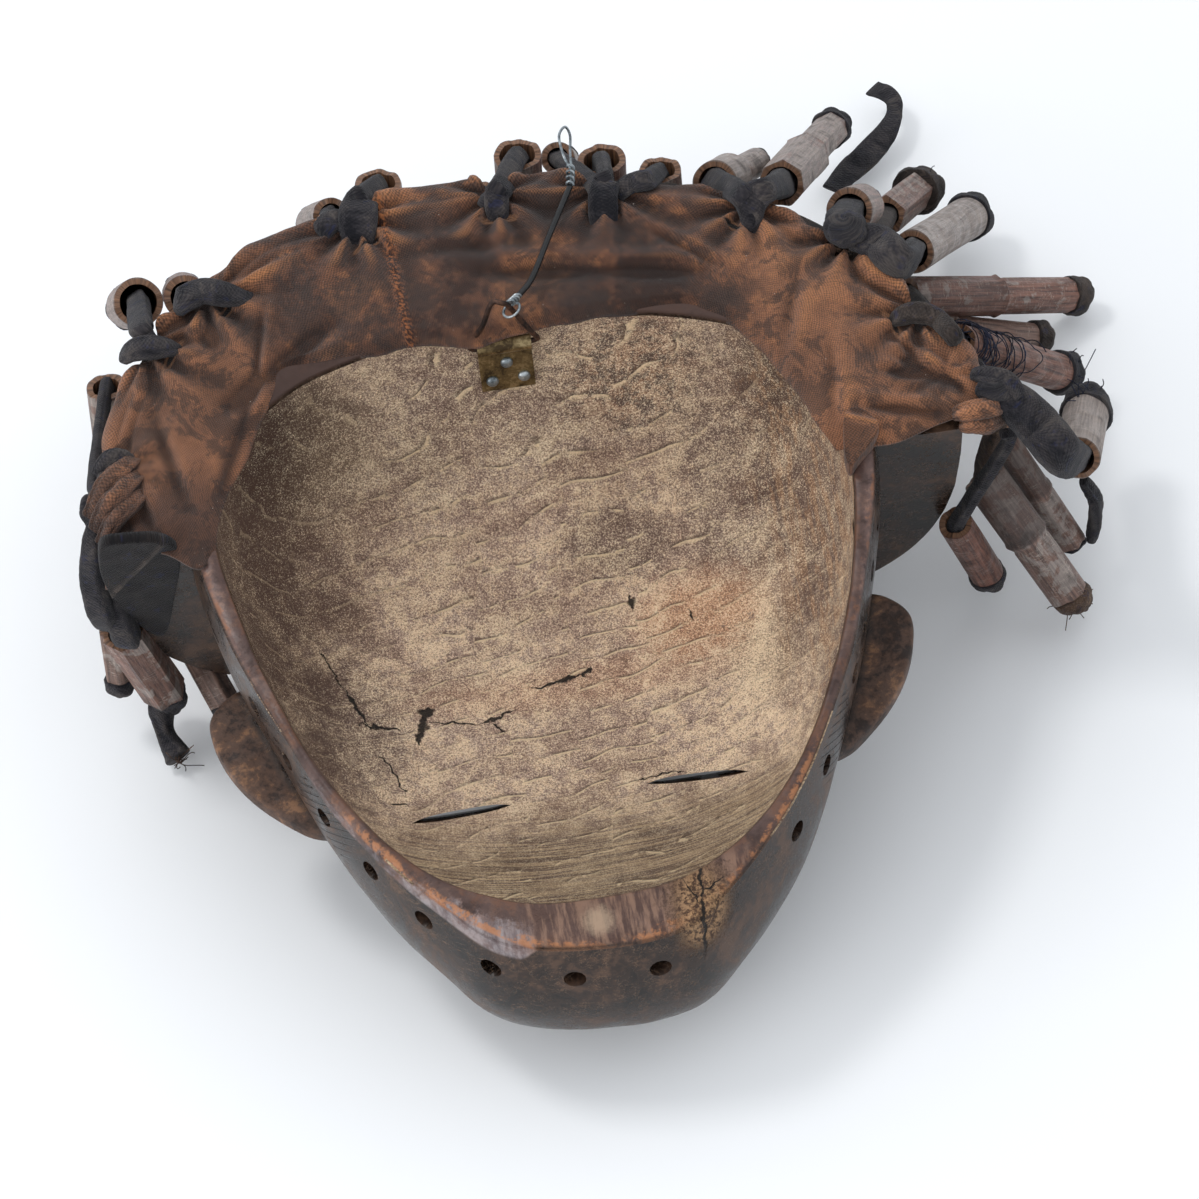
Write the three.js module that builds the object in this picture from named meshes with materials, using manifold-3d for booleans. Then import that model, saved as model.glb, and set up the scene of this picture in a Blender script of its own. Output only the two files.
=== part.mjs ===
// A carved wooden face mask with a cloth band and cane tubes, lying on its face.
// Millimetres. The origin is the nose tip, +Y runs up the face and +Z is the open back.
import * as THREE from "three";
import { mergeVertices } from "three/addons/utils/BufferGeometryUtils.js";
import Module from "manifold-3d";

const wasm = await Module();
wasm.setup();
const { Manifold, Mesh } = wasm;

// Carving: u across, v up from the chin, w out of the open back, from the rim's plane
const TILT = 15;
const NOSE_V = 54;
const NOSE_DEPTH = 79;
const FACE = { half: 94, centre: 138, low: 138, lowPower: 1.38, top: 90, topPower: 2.2, sidePower: 2 };
const HOLLOW = { half: 87.5, centre: 138, low: 123, lowPower: 1.5, top: 52, topPower: 2.4, sidePower: 2.5 };
const COIFFURE = { half: 118, centre: 137, low: 70, lowPower: 2.4, top: 98, topPower: 2.4, sidePower: 2.4 };
const FACE_CENTRE = 96;
const HOLLOW_CENTRE = 112;
const FACE_DEPTH = 62;
const HOLLOW_DEPTH = 56;
const COIFFURE_DEPTH = 127;
const HAIRLINE_V = 137;
const HAIRLINE_HALF = 93;
const HAIRLINE_RISE = 28;
const CHIN_FULLNESS = 3;
const SOCKET_DEPTH = 5;
const EYE_U = 33;
const EYE_V = 76;
const LID = [18, 9.5, 9];
const SLIT_LENGTH = 27;
const SLIT_HEIGHT = 3.6;
const SLIT_V = 58;
const SLIT_DEPTH = 35;
const SLIT_SLOPE = 30;
const EAR_TOP = -26.5;
const EAR_THICKNESS = 7.5;
const RIM_HOLE_RADIUS = 2.5;
const RIM_HOLE_DEPTH = 10;
const RIM_HOLE_LENGTH = 48;
const RIM_HOLE_ANGLES = [13, 4, -6, -17, -37, -51, -83, -96, -109, -122, -135, -149, -163, -176];

// Cloth band
const GAP = 0.4;
const BAND_THICKNESS = 2;
const BAND_HEM = 15;
const BAND_INNER = { half: 86, top: 51, power: 3.2 };
const BAND_ENDS = [-4, 184];

// Hanger: its frame stands on the hollow's top wall, x across, y up the wall, z into the hollow
const PLATE = { centre: [-1.5, 184, -13], slope: 71, half: 7.6, high: 7.8, thickness: 1 };
const ROLL = { up: 9.4, out: 1.6, outer: 2.2, inner: 1.4 };
const SEAT = { margin: 1, above: 3, deep: 10 };
const NAILS = { top: [0.2, 2.2], left: [-4.4, -4], right: [4.6, -3.6] };
const NAIL_HOLE_RADIUS = 1;
const RING_LEAN = 77;
const RING_WIRE = 0.9;
const HANGING_WIRE = 0.7;
const HOOK = { across: 3.3, along: 13.7, half: [2.3, 1.1, 2.5], turns: [250, 195, 140, 85, 35] };

// Cane tubes: near end, far end and outer radius; far is the radius past the joint
const TUBE_WALL = 1.8;
const TUBES = {
  upper_left_tube: { from: [-102, 154, 100], to: [-109, 211, 45], radius: 7.1 },
  crown_left_tube: { from: [-88, 150, 103], to: [-92, 208, 50], radius: 6.3 },
  side_left_tube: { from: [-114, 130, 92], to: [-118, 129, 38], radius: 5.6 },
  low_left_tube: { from: [-123, 83, 42], to: [-124, 80, 23], radius: 3.9 },
  cheek_left_tube: { from: [-119, 72, 53], to: [-112, 78, 19], radius: 6.3 },
  inner_left_tube: { from: [-103, 92, 22], to: [-96, 78, 9], radius: 4.6 },
  top_left_tube: { from: [-29, 182, 106], to: [-33, 176, 50], radius: 6.8 },
  back_left_tube: { from: [-44, 180, 98], to: [-50, 226, 54], radius: 5.4 },
  crown_tube: { from: [12, 183, 108], to: [10, 183, 46], radius: 7 },
  crown_thin_tube: { from: [0, 175, 103], to: [-3, 176, 52], radius: 4.6 },
  back_middle_tube: { from: [24, 190, 98], to: [28, 232, 58], radius: 5 },
  top_right_tube: { from: [36, 180, 104], to: [34, 178, 46], radius: 7 },
  back_right_tube: { from: [52, 173, 103], to: [52, 170, 50], radius: 6.2 },
  bark_tube: { from: [67, 166, 101], to: [84, 206, 70], radius: 6.8, far: 4.4, joint: 0.34 },
  wrapped_tube: { from: [88, 180, 84], to: [116, 266, 24], radius: 6.8, far: 5.4, joint: 0.48 },
  corner_tube: { from: [104, 154, 94], to: [111, 177, 73], radius: 6.7 },
  grey_tube: { from: [123, 160, 68], to: [152, 224, 17], radius: 6.5 },
  brown_tube: { from: [122, 200, 46], to: [137, 232, 24], radius: 5.7 },
  long_tube: { from: [122, 166, 44], to: [178, 190, 10], radius: 6, far: 5.5, joint: 0.52 },
  floor_tube: { from: [136, 168, 25], to: [163, 175, 9], radius: 4.7 },
  thread_tube: { from: [130, 126, 62], to: [166, 151, 17], radius: 5.6 },
  pale_tube: { from: [157, 88, 47], to: [165, 113, 38], radius: 6.7 },
  thin_tube: { from: [136, 92, 56], to: [155, 86, 14], radius: 4.2 },
  jointed_tube: { from: [129, 83, 50], to: [150, 66, 14], radius: 6.4, far: 5.8, joint: 0.5 },
  red_tube: { from: [118, 70, 47], to: [129, 80, 12], radius: 4.9 },
};

// A tail's stopping knot: how far past the tube's end it starts, is full and ends, and its share of the radius
const STOP = { start: 0.5, full: 1.1, end: 5.5, share: 0.95 };

// Rag strips: where each is knotted on the carving, the tubes its tails run through, and its sizes.
// place says how it is knotted: on the band, beside its edge, or under its hem.
const STRIPS = {
  upper_left_strip: { knot: [-98, 198], tubes: ["upper_left_tube"] },
  crown_left_strip: { knot: [-80, 211], tubes: ["crown_left_tube"], size: 1.15 },
  side_left_strip: { knot: [-112, 160], tubes: ["side_left_tube"] },
  low_left_strip: { knot: [-116, 141], tubes: ["cheek_left_tube", "low_left_tube"], size: 0.8 },
  inner_left_strip: { knot: [-114, 158], tubes: ["inner_left_tube"], place: "hem" },
  top_left_strip: { knot: [-36, 227], tubes: ["top_left_tube", "back_left_tube"], size: 1.1 },
  crown_strip: { knot: [3, 229], tubes: ["crown_tube", "crown_thin_tube"] },
  top_right_strip: { knot: [33, 226], tubes: ["top_right_tube", "back_middle_tube"] },
  back_right_strip: { knot: [52, 226], tubes: ["back_right_tube"], place: "edge" },
  bark_strip: { knot: [71, 214], tubes: ["bark_tube", "wrapped_tube"], size: 1.15 },
  corner_strip: { knot: [97, 200], tubes: ["corner_tube", "grey_tube"], size: 1.3 },
  brown_strip: { knot: [100, 199], tubes: ["brown_tube"], place: "hem" },
  long_strip: { knot: [111, 172], tubes: ["long_tube", "floor_tube"] },
  thread_strip: { knot: [116, 172], tubes: ["thread_tube"], place: "hem" },
  pale_strip: { knot: [115, 152], tubes: ["pale_tube"], size: 1.1, wide: 1.6 },
  thin_strip: { knot: [117, 159], tubes: ["thin_tube"], place: "hem" },
  jointed_strip: { knot: [118, 149], tubes: ["jointed_tube"], place: "hem" },
  red_strip: { knot: [118, 139], tubes: ["red_tube"], place: "hem" },
};

const sin = (degrees) => Math.sin(THREE.MathUtils.degToRad(degrees));
const cos = (degrees) => Math.cos(THREE.MathUtils.degToRad(degrees));
const bell = (x, width) => Math.exp(-((x / width) ** 2));
const radians = THREE.MathUtils.degToRad;

// The carving's group leans back until the nose tip and the coiffure's front stand on z = 0
const carving = new THREE.Group();
carving.rotation.x = radians(TILT);
carving.position.y = -(NOSE_V * cos(TILT) + NOSE_DEPTH * sin(TILT));
carving.position.z = NOSE_DEPTH * cos(TILT) - NOSE_V * sin(TILT);
carving.updateMatrix();

const hanger = new THREE.Group();
hanger.position.set(...PLATE.centre);
hanger.rotation.x = radians(PLATE.slope);
hanger.updateMatrix();

// A point of the carving in the mask's own frame
function placed(point) {
  return new THREE.Vector3(...point).applyMatrix4(carving.matrix).toArray();
}

// A closed geometry as a solid to cut and join, and back
function solidOf(geometry) {
  const bare = geometry.clone();
  bare.deleteAttribute("normal");
  bare.deleteAttribute("uv");
  const merged = mergeVertices(bare, 1e-4);
  const vertProperties = merged.attributes.position.array;
  return new Manifold(new Mesh({ numProp: 3, vertProperties, triVerts: new Uint32Array(merged.index.array) }));
}

function geometryOf(solid) {
  const { vertProperties, triVerts } = solid.getMesh();
  const geometry = new THREE.BufferGeometry();
  geometry.setAttribute("position", new THREE.BufferAttribute(new Float32Array(vertProperties), 3));
  geometry.setIndex(new THREE.BufferAttribute(new Uint32Array(triVerts), 1));
  return geometry;
}

// A closed geometry from points and triangles, turned outward
function closedGeometry(points, faces) {
  const [a, b, c] = [new THREE.Vector3(), new THREE.Vector3(), new THREE.Vector3()];
  const volume = faces.reduce((sum, [i, j, k]) => {
    a.set(...points[i]);
    b.set(...points[j]);
    c.set(...points[k]);
    return sum + a.dot(b.cross(c));
  }, 0);
  const outward = volume < 0 ? faces.map((face) => face.toReversed()) : faces;
  const geometry = new THREE.BufferGeometry();
  geometry.setAttribute("position", new THREE.Float32BufferAttribute(points.flat(), 3));
  geometry.setIndex(outward.flat());
  return geometry;
}

// The triangles between one ring of points and the next
function between(first, second, n) {
  const faces = [];
  for (let i = 0; i < n; i++) {
    const j = (i + 1) % n;
    faces.push([first + i, first + j, second + j], [first + i, second + j, second + i]);
  }
  return faces;
}

// Rings of equal length joined in order, with a fan from a point on each end
function loft(rings, start, end) {
  const n = rings[0].length;
  const last = (rings.length - 1) * n;
  const tip = rings.length * n;
  const faces = rings.slice(1).flatMap((_, k) => between(k * n, (k + 1) * n, n));
  for (let i = 0; i < n; i++) {
    const j = (i + 1) % n;
    faces.push([tip, j, i], [tip + 1, last + i, last + j]);
  }
  return closedGeometry([...rings.flat(), start, end], faces);
}

// Rings joined in order, and the last to the first
function hoop(rings) {
  const n = rings[0].length;
  const faces = rings.flatMap((_, k) => between(k * n, ((k + 1) % rings.length) * n, n));
  return closedGeometry(rings.flat(), faces);
}

// A rag, rope or ridge along a path: each point has its half-width and half-thickness.
// The width starts level and is carried along the path without twist.
function strand(path, widths, heights, sides) {
  const points = path.map((point) => new THREE.Vector3(...point));
  const side = new THREE.Vector3(0, 0, 1).cross(points[1].clone().sub(points[0]));
  if (side.length() < 0.15) side.set(1, 0, 0);
  const rings = points.map((point, k) => {
    const after = points[Math.min(points.length - 1, k + 1)].clone().sub(point).normalize();
    const before = point.clone().sub(points[Math.max(0, k - 1)]).normalize();
    const along = after.add(before).normalize();
    side.addScaledVector(along, -side.dot(along)).normalize();
    const up = along.clone().cross(side);
    return Array.from({ length: sides }, (_, i) => {
      const turn = (360 * (i + 0.5)) / sides;
      const at = point.clone().addScaledVector(side, widths[k] * cos(turn));
      return at.addScaledVector(up, heights[k] * sin(turn)).toArray();
    });
  });
  return loft(rings, path[0], path[path.length - 1]);
}

function bulge([a, b, c], at, around = 12, high = 6) {
  return new THREE.SphereGeometry(1, around, high).scale(a, b, c).translate(...at);
}

// An outline of the rim's plane as a block from one depth down to another
function block(outline, low, high) {
  const shape = new THREE.Shape(outline.map(([u, v]) => new THREE.Vector2(u, v)));
  return new THREE.ExtrudeGeometry(shape, { depth: high - low, bevelEnabled: false }).translate(0, 0, low);
}

// How far out a point is in an outline: 1 on the edge
function gauge(outline, u, v) {
  const above = v >= outline.centre;
  const height = above ? outline.top : outline.low;
  const power = above ? outline.topPower : outline.lowPower;
  return (Math.abs(u) / outline.half) ** outline.sidePower + (Math.abs(v - outline.centre) / height) ** power;
}

// Distance from (0, centre) to the outline's edge in a direction
function reach(outline, centre, angle) {
  let near = 0;
  let far = 300;
  while (far - near > 1e-6) {
    const middle = (near + far) / 2;
    if (gauge(outline, middle * cos(angle), centre + middle * sin(angle)) < 1) near = middle;
    else far = middle;
  }
  return near;
}

// A dome below the rim's plane, as rings from the edge to the middle
function dome(outline, centre, around, levels, pointAt) {
  const rings = levels.map((level) =>
    Array.from({ length: around }, (_, i) => {
      const angle = (360 * i) / around;
      return pointAt(angle, level, reach(outline, centre, angle));
    }),
  );
  return loft(rings, [0, centre, rings[0][0][2]], pointAt(0, 90, 0));
}

// Carved mask: face, coiffure and ears in one piece of wood
function facePoint(angle, level, edge) {
  const down = Math.max(0, -sin(angle));
  const power = 2 / (2.6 + 3.4 * down ** 3);
  const deep = sin(level) ** power;
  const flare = 1 + (0.045 + 0.055 * down ** 2) * Math.sin(Math.PI * deep);
  const r = edge * Math.max(0, cos(level)) ** power * flare;
  const u = r * cos(angle);
  const v = FACE_CENTRE + r * sin(angle);
  const socket = SOCKET_DEPTH * bell(Math.abs(u) - EYE_U, 22) * bell(v - 80, 14);
  const chin = CHIN_FULLNESS * bell(u, 20) * bell(v - 9, 9);
  const depth = FACE_DEPTH + 0.22 * Math.max(0, v - NOSE_V);
  return [u, v, -deep * depth - (chin - socket) * sin(level) ** 2];
}

function coiffurePoint(angle, level, edge) {
  const power = 2 / 2.6;
  const r = edge * Math.max(0, cos(level)) ** power;
  const v = COIFFURE.centre + r * sin(angle);
  return [r * cos(angle), v, -(sin(level) ** power) * (COIFFURE_DEPTH - 0.6 * Math.max(0, 185 - v))];
}

// The hollow is square-cornered at the rim's sides and opens out at the top wall
function hollowPoint(angle, level, edge) {
  const power = 2 / (3 - 1.4 * Math.max(0, sin(angle)) ** 1.5 + 0.4 * Math.max(0, -sin(angle)));
  const r = edge * Math.max(0, cos(level)) ** power;
  const v = HOLLOW_CENTRE + r * sin(angle);
  if (level < 0) return [edge * cos(angle), HOLLOW_CENTRE + edge * sin(angle), 6];
  return [r * cos(angle), v, -(sin(level) ** power) * (HOLLOW_DEPTH + 0.16 * (v - NOSE_V))];
}

// Everything above the hairline's arc
function hairBlock() {
  const arc = Array.from({ length: 11 }, (_, i) => {
    const t = 1 - i / 5;
    return [t * HAIRLINE_HALF, HAIRLINE_V + HAIRLINE_RISE * (1 - Math.abs(t) ** 2.4)];
  });
  return block([[140, 300], [140, HAIRLINE_V], ...arc, [-140, HAIRLINE_V], [-140, 300]], -150, 20);
}

function ear(side) {
  const outline = [[70, 104], [88, 105], [96, 99], [98, 93], [95, 82], [89, 72], [81, 64], [72, 57], [60, 57]];
  return block(outline.map(([u, v]) => [side * u, v]), EAR_TOP - EAR_THICKNESS, EAR_TOP);
}

// The nose as sections from the bridge down to the wings: v, half-width, root and crest
function nose() {
  const sections = [[107, 3, -60, -66], [92, 5, -60, -73], [70, 7.5, -60, -78], [57, 11.5, -58, -84], [51, 12.5, -58, -83], [47, 9, -57, -70]];
  const rings = sections.map(([v, half, root, crest]) => [
    [-half, v, root],
    [-half * 0.95, v, root + (crest - root) * 0.4],
    [-half * 0.4, v, crest],
    [half * 0.4, v, crest],
    [half * 0.95, v, root + (crest - root) * 0.4],
    [half, v, root],
  ]);
  return loft(rings, [0, 108, -62], [0, 46, -60]);
}

function brow(side) {
  const arc = [[6, 96], [18, 101], [32, 103], [45, 100], [56, 93]];
  const path = arc.map(([u, v]) => [side * u, v, -73 + (u / 56) ** 2 * 8]);
  return strand(path, [2, 3, 3, 3, 1.5], [3, 3.6, 3.6, 3.4, 2], 5);
}

function features() {
  const lips = [bulge([22, 4.4, 8], [0, 34.5, -59]), bulge([19, 4.6, 8], [0, 26.5, -58.5])];
  const sides = [-1, 1].flatMap((side) => [bulge(LID, [side * EYE_U, EYE_V, -58]), brow(side), ear(side)]);
  return [nose(), ...lips, ...sides];
}

function rimHole(angle) {
  const edge = reach(FACE, FACE_CENTRE, angle);
  const middle = edge + 14 - RIM_HOLE_LENGTH / 2;
  return new THREE.CylinderGeometry(RIM_HOLE_RADIUS, RIM_HOLE_RADIUS, RIM_HOLE_LENGTH, 6)
    .rotateZ(radians(angle - 90))
    .translate(middle * cos(angle), FACE_CENTRE + middle * sin(angle), -RIM_HOLE_DEPTH);
}

function eyeSlit(side) {
  const half = SLIT_LENGTH / 2;
  const high = SLIT_HEIGHT / 2;
  const outline = [[-half, 0], [-half * 0.6, -high], [half * 0.6, -high], [half, 0], [half * 0.6, high], [-half * 0.6, high]];
  return block(outline, -60, 0).rotateX(radians(SLIT_SLOPE)).translate(side * EYE_U, SLIT_V, -SLIT_DEPTH);
}

function nailHole([across, up], radius, back, front, sides) {
  return new THREE.CylinderGeometry(radius, radius, front - back, sides)
    .rotateX(radians(90))
    .translate(across, up, (back + front) / 2);
}

function plateSeat() {
  const low = -PLATE.high - SEAT.margin;
  const high = ROLL.up + SEAT.above;
  const wide = 2 * (PLATE.half + SEAT.margin);
  return new THREE.BoxGeometry(wide, high - low, SEAT.deep).translate(0, (low + high) / 2, SEAT.deep / 2 - SEAT.margin);
}

function underFloor() {
  return new THREE.BoxGeometry(600, 600, 60).translate(0, 0, -30).applyMatrix4(carving.matrix.clone().invert());
}

function carvedMask() {
  const face = dome(FACE, FACE_CENTRE, 38, [0, 4, 10, 18, 28, 39, 50, 60, 69, 78], facePoint);
  const hair = dome(COIFFURE, COIFFURE.centre, 34, [0, 4, 11, 21, 34, 48, 62, 75], coiffurePoint);
  const hollow = dome(HOLLOW, HOLLOW_CENTRE, 34, [-1, 0, 4, 10, 19, 31, 46, 64], hollowPoint);
  const coiffure = solidOf(hair).intersect(solidOf(hairBlock()));
  const whole = Manifold.union([solidOf(face), coiffure, ...features().map(solidOf)]);
  const inHanger = [plateSeat(), ...Object.values(NAILS).map((at) => nailHole(at, NAIL_HOLE_RADIUS, -6, 4, 8))];
  const cuts = [
    hollow,
    eyeSlit(1),
    eyeSlit(-1),
    ...RIM_HOLE_ANGLES.map(rimHole),
    ...inHanger.map((cut) => cut.applyMatrix4(hanger.matrix)),
    underFloor(),
  ];
  return geometryOf(whole.subtract(Manifold.union(cuts.map(solidOf))));
}

// Cloth band: over the coiffure's back and down its outside
function coiffureEdge(angle) {
  return 1 / ((Math.abs(cos(angle)) / COIFFURE.half) ** 2.4 + (Math.abs(sin(angle)) / COIFFURE.top) ** 2.4) ** (1 / 2.4);
}

function bandInner(angle) {
  const { half, top, power } = BAND_INNER;
  return 1 / ((Math.abs(cos(angle)) / half) ** power + (Math.abs(sin(angle)) / top) ** power) ** (1 / power);
}

function bandSection(angle) {
  const edge = coiffureEdge(angle);
  const inner = bandInner(angle);
  const out = edge + GAP;
  const shape = [
    [inner, GAP + 0.2],
    [inner, GAP + BAND_THICKNESS],
    [(inner + edge) / 2, GAP + BAND_THICKNESS + 0.8],
    [edge - 1, GAP + BAND_THICKNESS],
    [out + BAND_THICKNESS, GAP - 1],
    [out + BAND_THICKNESS, -BAND_HEM],
    [out, -BAND_HEM],
    [out, GAP],
  ];
  return shape.map(([r, w]) => [r * cos(angle), COIFFURE.centre + r * sin(angle), w]);
}

function clothBand() {
  const steps = 32;
  const [first, last] = BAND_ENDS;
  const rings = Array.from({ length: steps + 1 }, (_, i) => bandSection(first + ((last - first) * i) / steps));
  const n = rings[0].length;
  const faces = rings.slice(1).flatMap((_, k) => between(k * n, (k + 1) * n, n));
  const end = steps * n;
  for (const [a, b, c] of [[0, 1, 2], [0, 2, 7], [2, 3, 7], [3, 4, 7], [4, 6, 7], [4, 5, 6]]) {
    faces.push([c, b, a], [end + a, end + b, end + c]);
  }
  return closedGeometry(rings.flat(), faces);
}

// Hanger plate with its rolled top edge, nails, ring and wire
function hangerPlate() {
  const { half, high, thickness } = PLATE;
  const sheetHigh = high + ROLL.up - 0.2;
  const sheet = new THREE.BoxGeometry(2 * half, sheetHigh, thickness).translate(0, sheetHigh / 2 - high, -0.1);
  const profile = [
    [ROLL.inner, -half],
    [ROLL.outer, -half],
    [ROLL.outer, half],
    [ROLL.inner, half],
    [ROLL.inner, -half],
  ].map(([r, along]) => new THREE.Vector2(r, along));
  const roll = new THREE.LatheGeometry(profile, 8).rotateZ(radians(90)).translate(0, ROLL.up, ROLL.out);
  const bore = new THREE.CylinderGeometry(ROLL.inner, ROLL.inner, 2 * half + 2, 8)
    .rotateZ(radians(90))
    .translate(0, ROLL.up, ROLL.out);
  const holes = Object.values(NAILS).map((at) => solidOf(nailHole(at, NAIL_HOLE_RADIUS, -2, 2, 8)));
  const cut = solidOf(sheet).subtract(solidOf(bore));
  return geometryOf(Manifold.union([cut, solidOf(roll)]).subtract(Manifold.union(holes)));
}

function nail(at) {
  return geometryOf(Manifold.union([solidOf(nailHole(at, 1.5, 0.75, 1.6, 7)), solidOf(nailHole(at, 0.6, -5, 1, 5))]));
}

// The ring is a bent wire triangle, laid out flat: its foot runs through the plate's roll
function hangerRing() {
  const outline = [[-8.6, 0], [8.6, 0], [9.3, 1.4], [8.6, 3], [2.4, 15.6], [0.8, 17.2], [-1, 17.4], [-2.6, 16.2], [-8.8, 3], [-9.4, 1.4]];
  const points = outline.map(([x, y]) => new THREE.Vector2(x, y));
  const rings = points.map((point, k) => {
    const along = points[(k + 1) % points.length].clone().sub(points.at(k - 1)).normalize();
    return Array.from({ length: 6 }, (_, i) => {
      const out = RING_WIRE * cos(60 * i);
      return [point.x + along.y * out, point.y - along.x * out, RING_WIRE * sin(60 * i)];
    });
  });
  return hoop(rings);
}

// The wire hooks round the ring's right side and runs over the band to a loop at the coiffure's edge
function hangingWire() {
  const base = new THREE.Vector3(0, ROLL.up, ROLL.out).applyMatrix4(hanger.matrix);
  const hook = HOOK.turns.map((turn) => {
    const along = HOOK.along + HOOK.half[1] * cos(turn);
    const out = HOOK.half[2] * sin(turn);
    return [
      base.x + HOOK.across + HOOK.half[0] * cos(turn),
      base.y + along * cos(RING_LEAN) - out * sin(RING_LEAN),
      base.z + along * sin(RING_LEAN) + out * cos(RING_LEAN),
    ];
  });
  const run = [[9, 199, 7.5], [16, 213, 6], [24, 228, 5.6]];
  const loop = [[26, 237, 7.4], [26.4, 241, 10], [24.8, 242.6, 13.4], [22.6, 240, 12.4]];
  const path = [...hook, ...run, ...loop];
  const thick = path.map(() => HANGING_WIRE);
  return strand(path, thick, thick, 5);
}

// A cane tube standing on y = 0, to be turned along its own line
function tubeGeometry({ from, to, radius, far = radius, joint = 0.5 }) {
  const length = new THREE.Vector3(...from).distanceTo(new THREE.Vector3(...to));
  const step = far === radius ? [] : [[radius, joint * length], [far, (joint + 0.02) * length]];
  const profile = [
    [radius - TUBE_WALL, 0],
    [radius, 0],
    ...step,
    [far, length],
    [far - TUBE_WALL, length],
    [radius - TUBE_WALL, 0],
  ];
  return new THREE.LatheGeometry(profile.map(([r, y]) => new THREE.Vector2(r, y)), 9);
}

// Rag strips: a knot on the band, and tails that run through the tubes to a stopping knot
function edgePoint([u, v], out, w) {
  const angle = THREE.MathUtils.radToDeg(Math.atan2(v - COIFFURE.centre, u));
  const r = coiffureEdge(angle) + out;
  return placed([r * cos(angle), COIFFURE.centre + r * sin(angle), w]);
}

function tail(lead, name, wide) {
  const { from, to, radius, far = radius } = TUBES[name];
  const start = new THREE.Vector3(...from);
  const end = new THREE.Vector3(...to);
  const along = end.clone().sub(start).normalize();
  const at = (base, distance) => base.clone().addScaledVector(along, distance).toArray();
  const inside = Math.min(2.6, far - TUBE_WALL - 0.9);
  const stop = far * STOP.share;
  const path = [...lead, at(start, -1.5), at(end, STOP.start), at(end, STOP.full), at(end, STOP.end)];
  const widths = [...lead.map(() => 2.4 * wide), inside * Math.min(wide, 1), inside, stop, stop * 0.9];
  const heights = [...lead.map(() => 1.7), inside * 0.9, inside, stop, stop * 0.9];
  return strand(path, widths, heights, 5);
}

function strip({ knot, tubes, size = 1, place = "band", wide = 1 }) {
  if (place !== "band") {
    const at = place === "hem" ? edgePoint(knot, 5, -BAND_HEM - 5) : edgePoint(knot, 6.6, -2);
    const pieces = [bulge([3.3, 3.3, 3.3], at, 7, 4), ...tubes.map((name) => tail([at], name, 0.8))];
    return geometryOf(Manifold.union(pieces.map(solidOf)));
  }
  const high = 3.6 * size;
  const at = placed([...knot, GAP + BAND_THICKNESS + 1.4 + high]);
  const lead = [at, edgePoint(knot, 3.5, 4.6), edgePoint(knot, 6.2, 0)];
  const pieces = [bulge([4.6 * size, 4.8 * size, high], at, 7, 4), ...tubes.map((name) => tail(lead, name, wide))];
  return geometryOf(Manifold.union(pieces.map(solidOf)));
}

function looseRibbon() {
  const path = [[114, 252, 6], [122, 264, 6], [130, 272, 7], [136, 278, 8], [140, 284, 10], [140, 289, 12], [137, 294, 11], [134, 299, 9]];
  const widths = [3.4, 4.6, 5, 4.8, 3.4, 3.6, 4, 3.8];
  return strand(path, widths, widths.map(() => 0.9), 6);
}

// Materials
const finish = (color, roughness, metalness = 0) =>
  new THREE.MeshStandardMaterial({ color, roughness, metalness, flatShading: true });
const wood = finish("#3b2a20", 0.6);
const cloth = finish("#6e4128", 0.95);
const rag = finish("#26262b", 0.95);
const cane = finish("#6b5a50", 0.85);
const brass = finish("#6d6238", 0.4, 0.9);
const zinc = finish("#8b8f90", 0.4, 0.9);
const rust = finish("#4f3a30", 0.6, 0.6);
const coated = finish("#151517", 0.35);

function piece(name, geometry, material) {
  geometry.computeVertexNormals();
  const mesh = new THREE.Mesh(geometry, material);
  mesh.name = name;
  return mesh;
}

function caneTube(name, shape) {
  const mesh = piece(name, tubeGeometry(shape), cane);
  const along = new THREE.Vector3(...shape.to).sub(new THREE.Vector3(...shape.from)).normalize();
  mesh.position.set(...shape.from);
  mesh.quaternion.setFromUnitVectors(new THREE.Vector3(0, 1, 0), along);
  return mesh;
}

// Assembly
hanger.add(piece("hanger_plate", hangerPlate(), brass));
for (const [place, at] of Object.entries(NAILS)) hanger.add(piece(`${place}_nail`, nail(at), zinc));
const ring = piece("hanger_ring", hangerRing(), rust);
ring.position.set(0, ROLL.up, ROLL.out);
ring.rotation.x = radians(RING_LEAN - PLATE.slope);
hanger.add(ring);

carving.add(piece("carved_mask", carvedMask(), wood));
carving.add(piece("cloth_band", clothBand(), cloth));
carving.add(piece("hanging_wire", hangingWire(), coated));
carving.add(hanger);

const mask = new THREE.Group();
mask.name = "lying_mask";
mask.add(carving);
for (const [name, shape] of Object.entries(TUBES)) mask.add(caneTube(name, shape));
for (const [name, shape] of Object.entries(STRIPS)) mask.add(piece(name, strip(shape), rag));
mask.add(piece("loose_ribbon", looseRibbon(), rag));

export default mask;
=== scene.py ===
import math

import bpy
import numpy as np
from mathutils import Matrix, Vector


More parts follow.
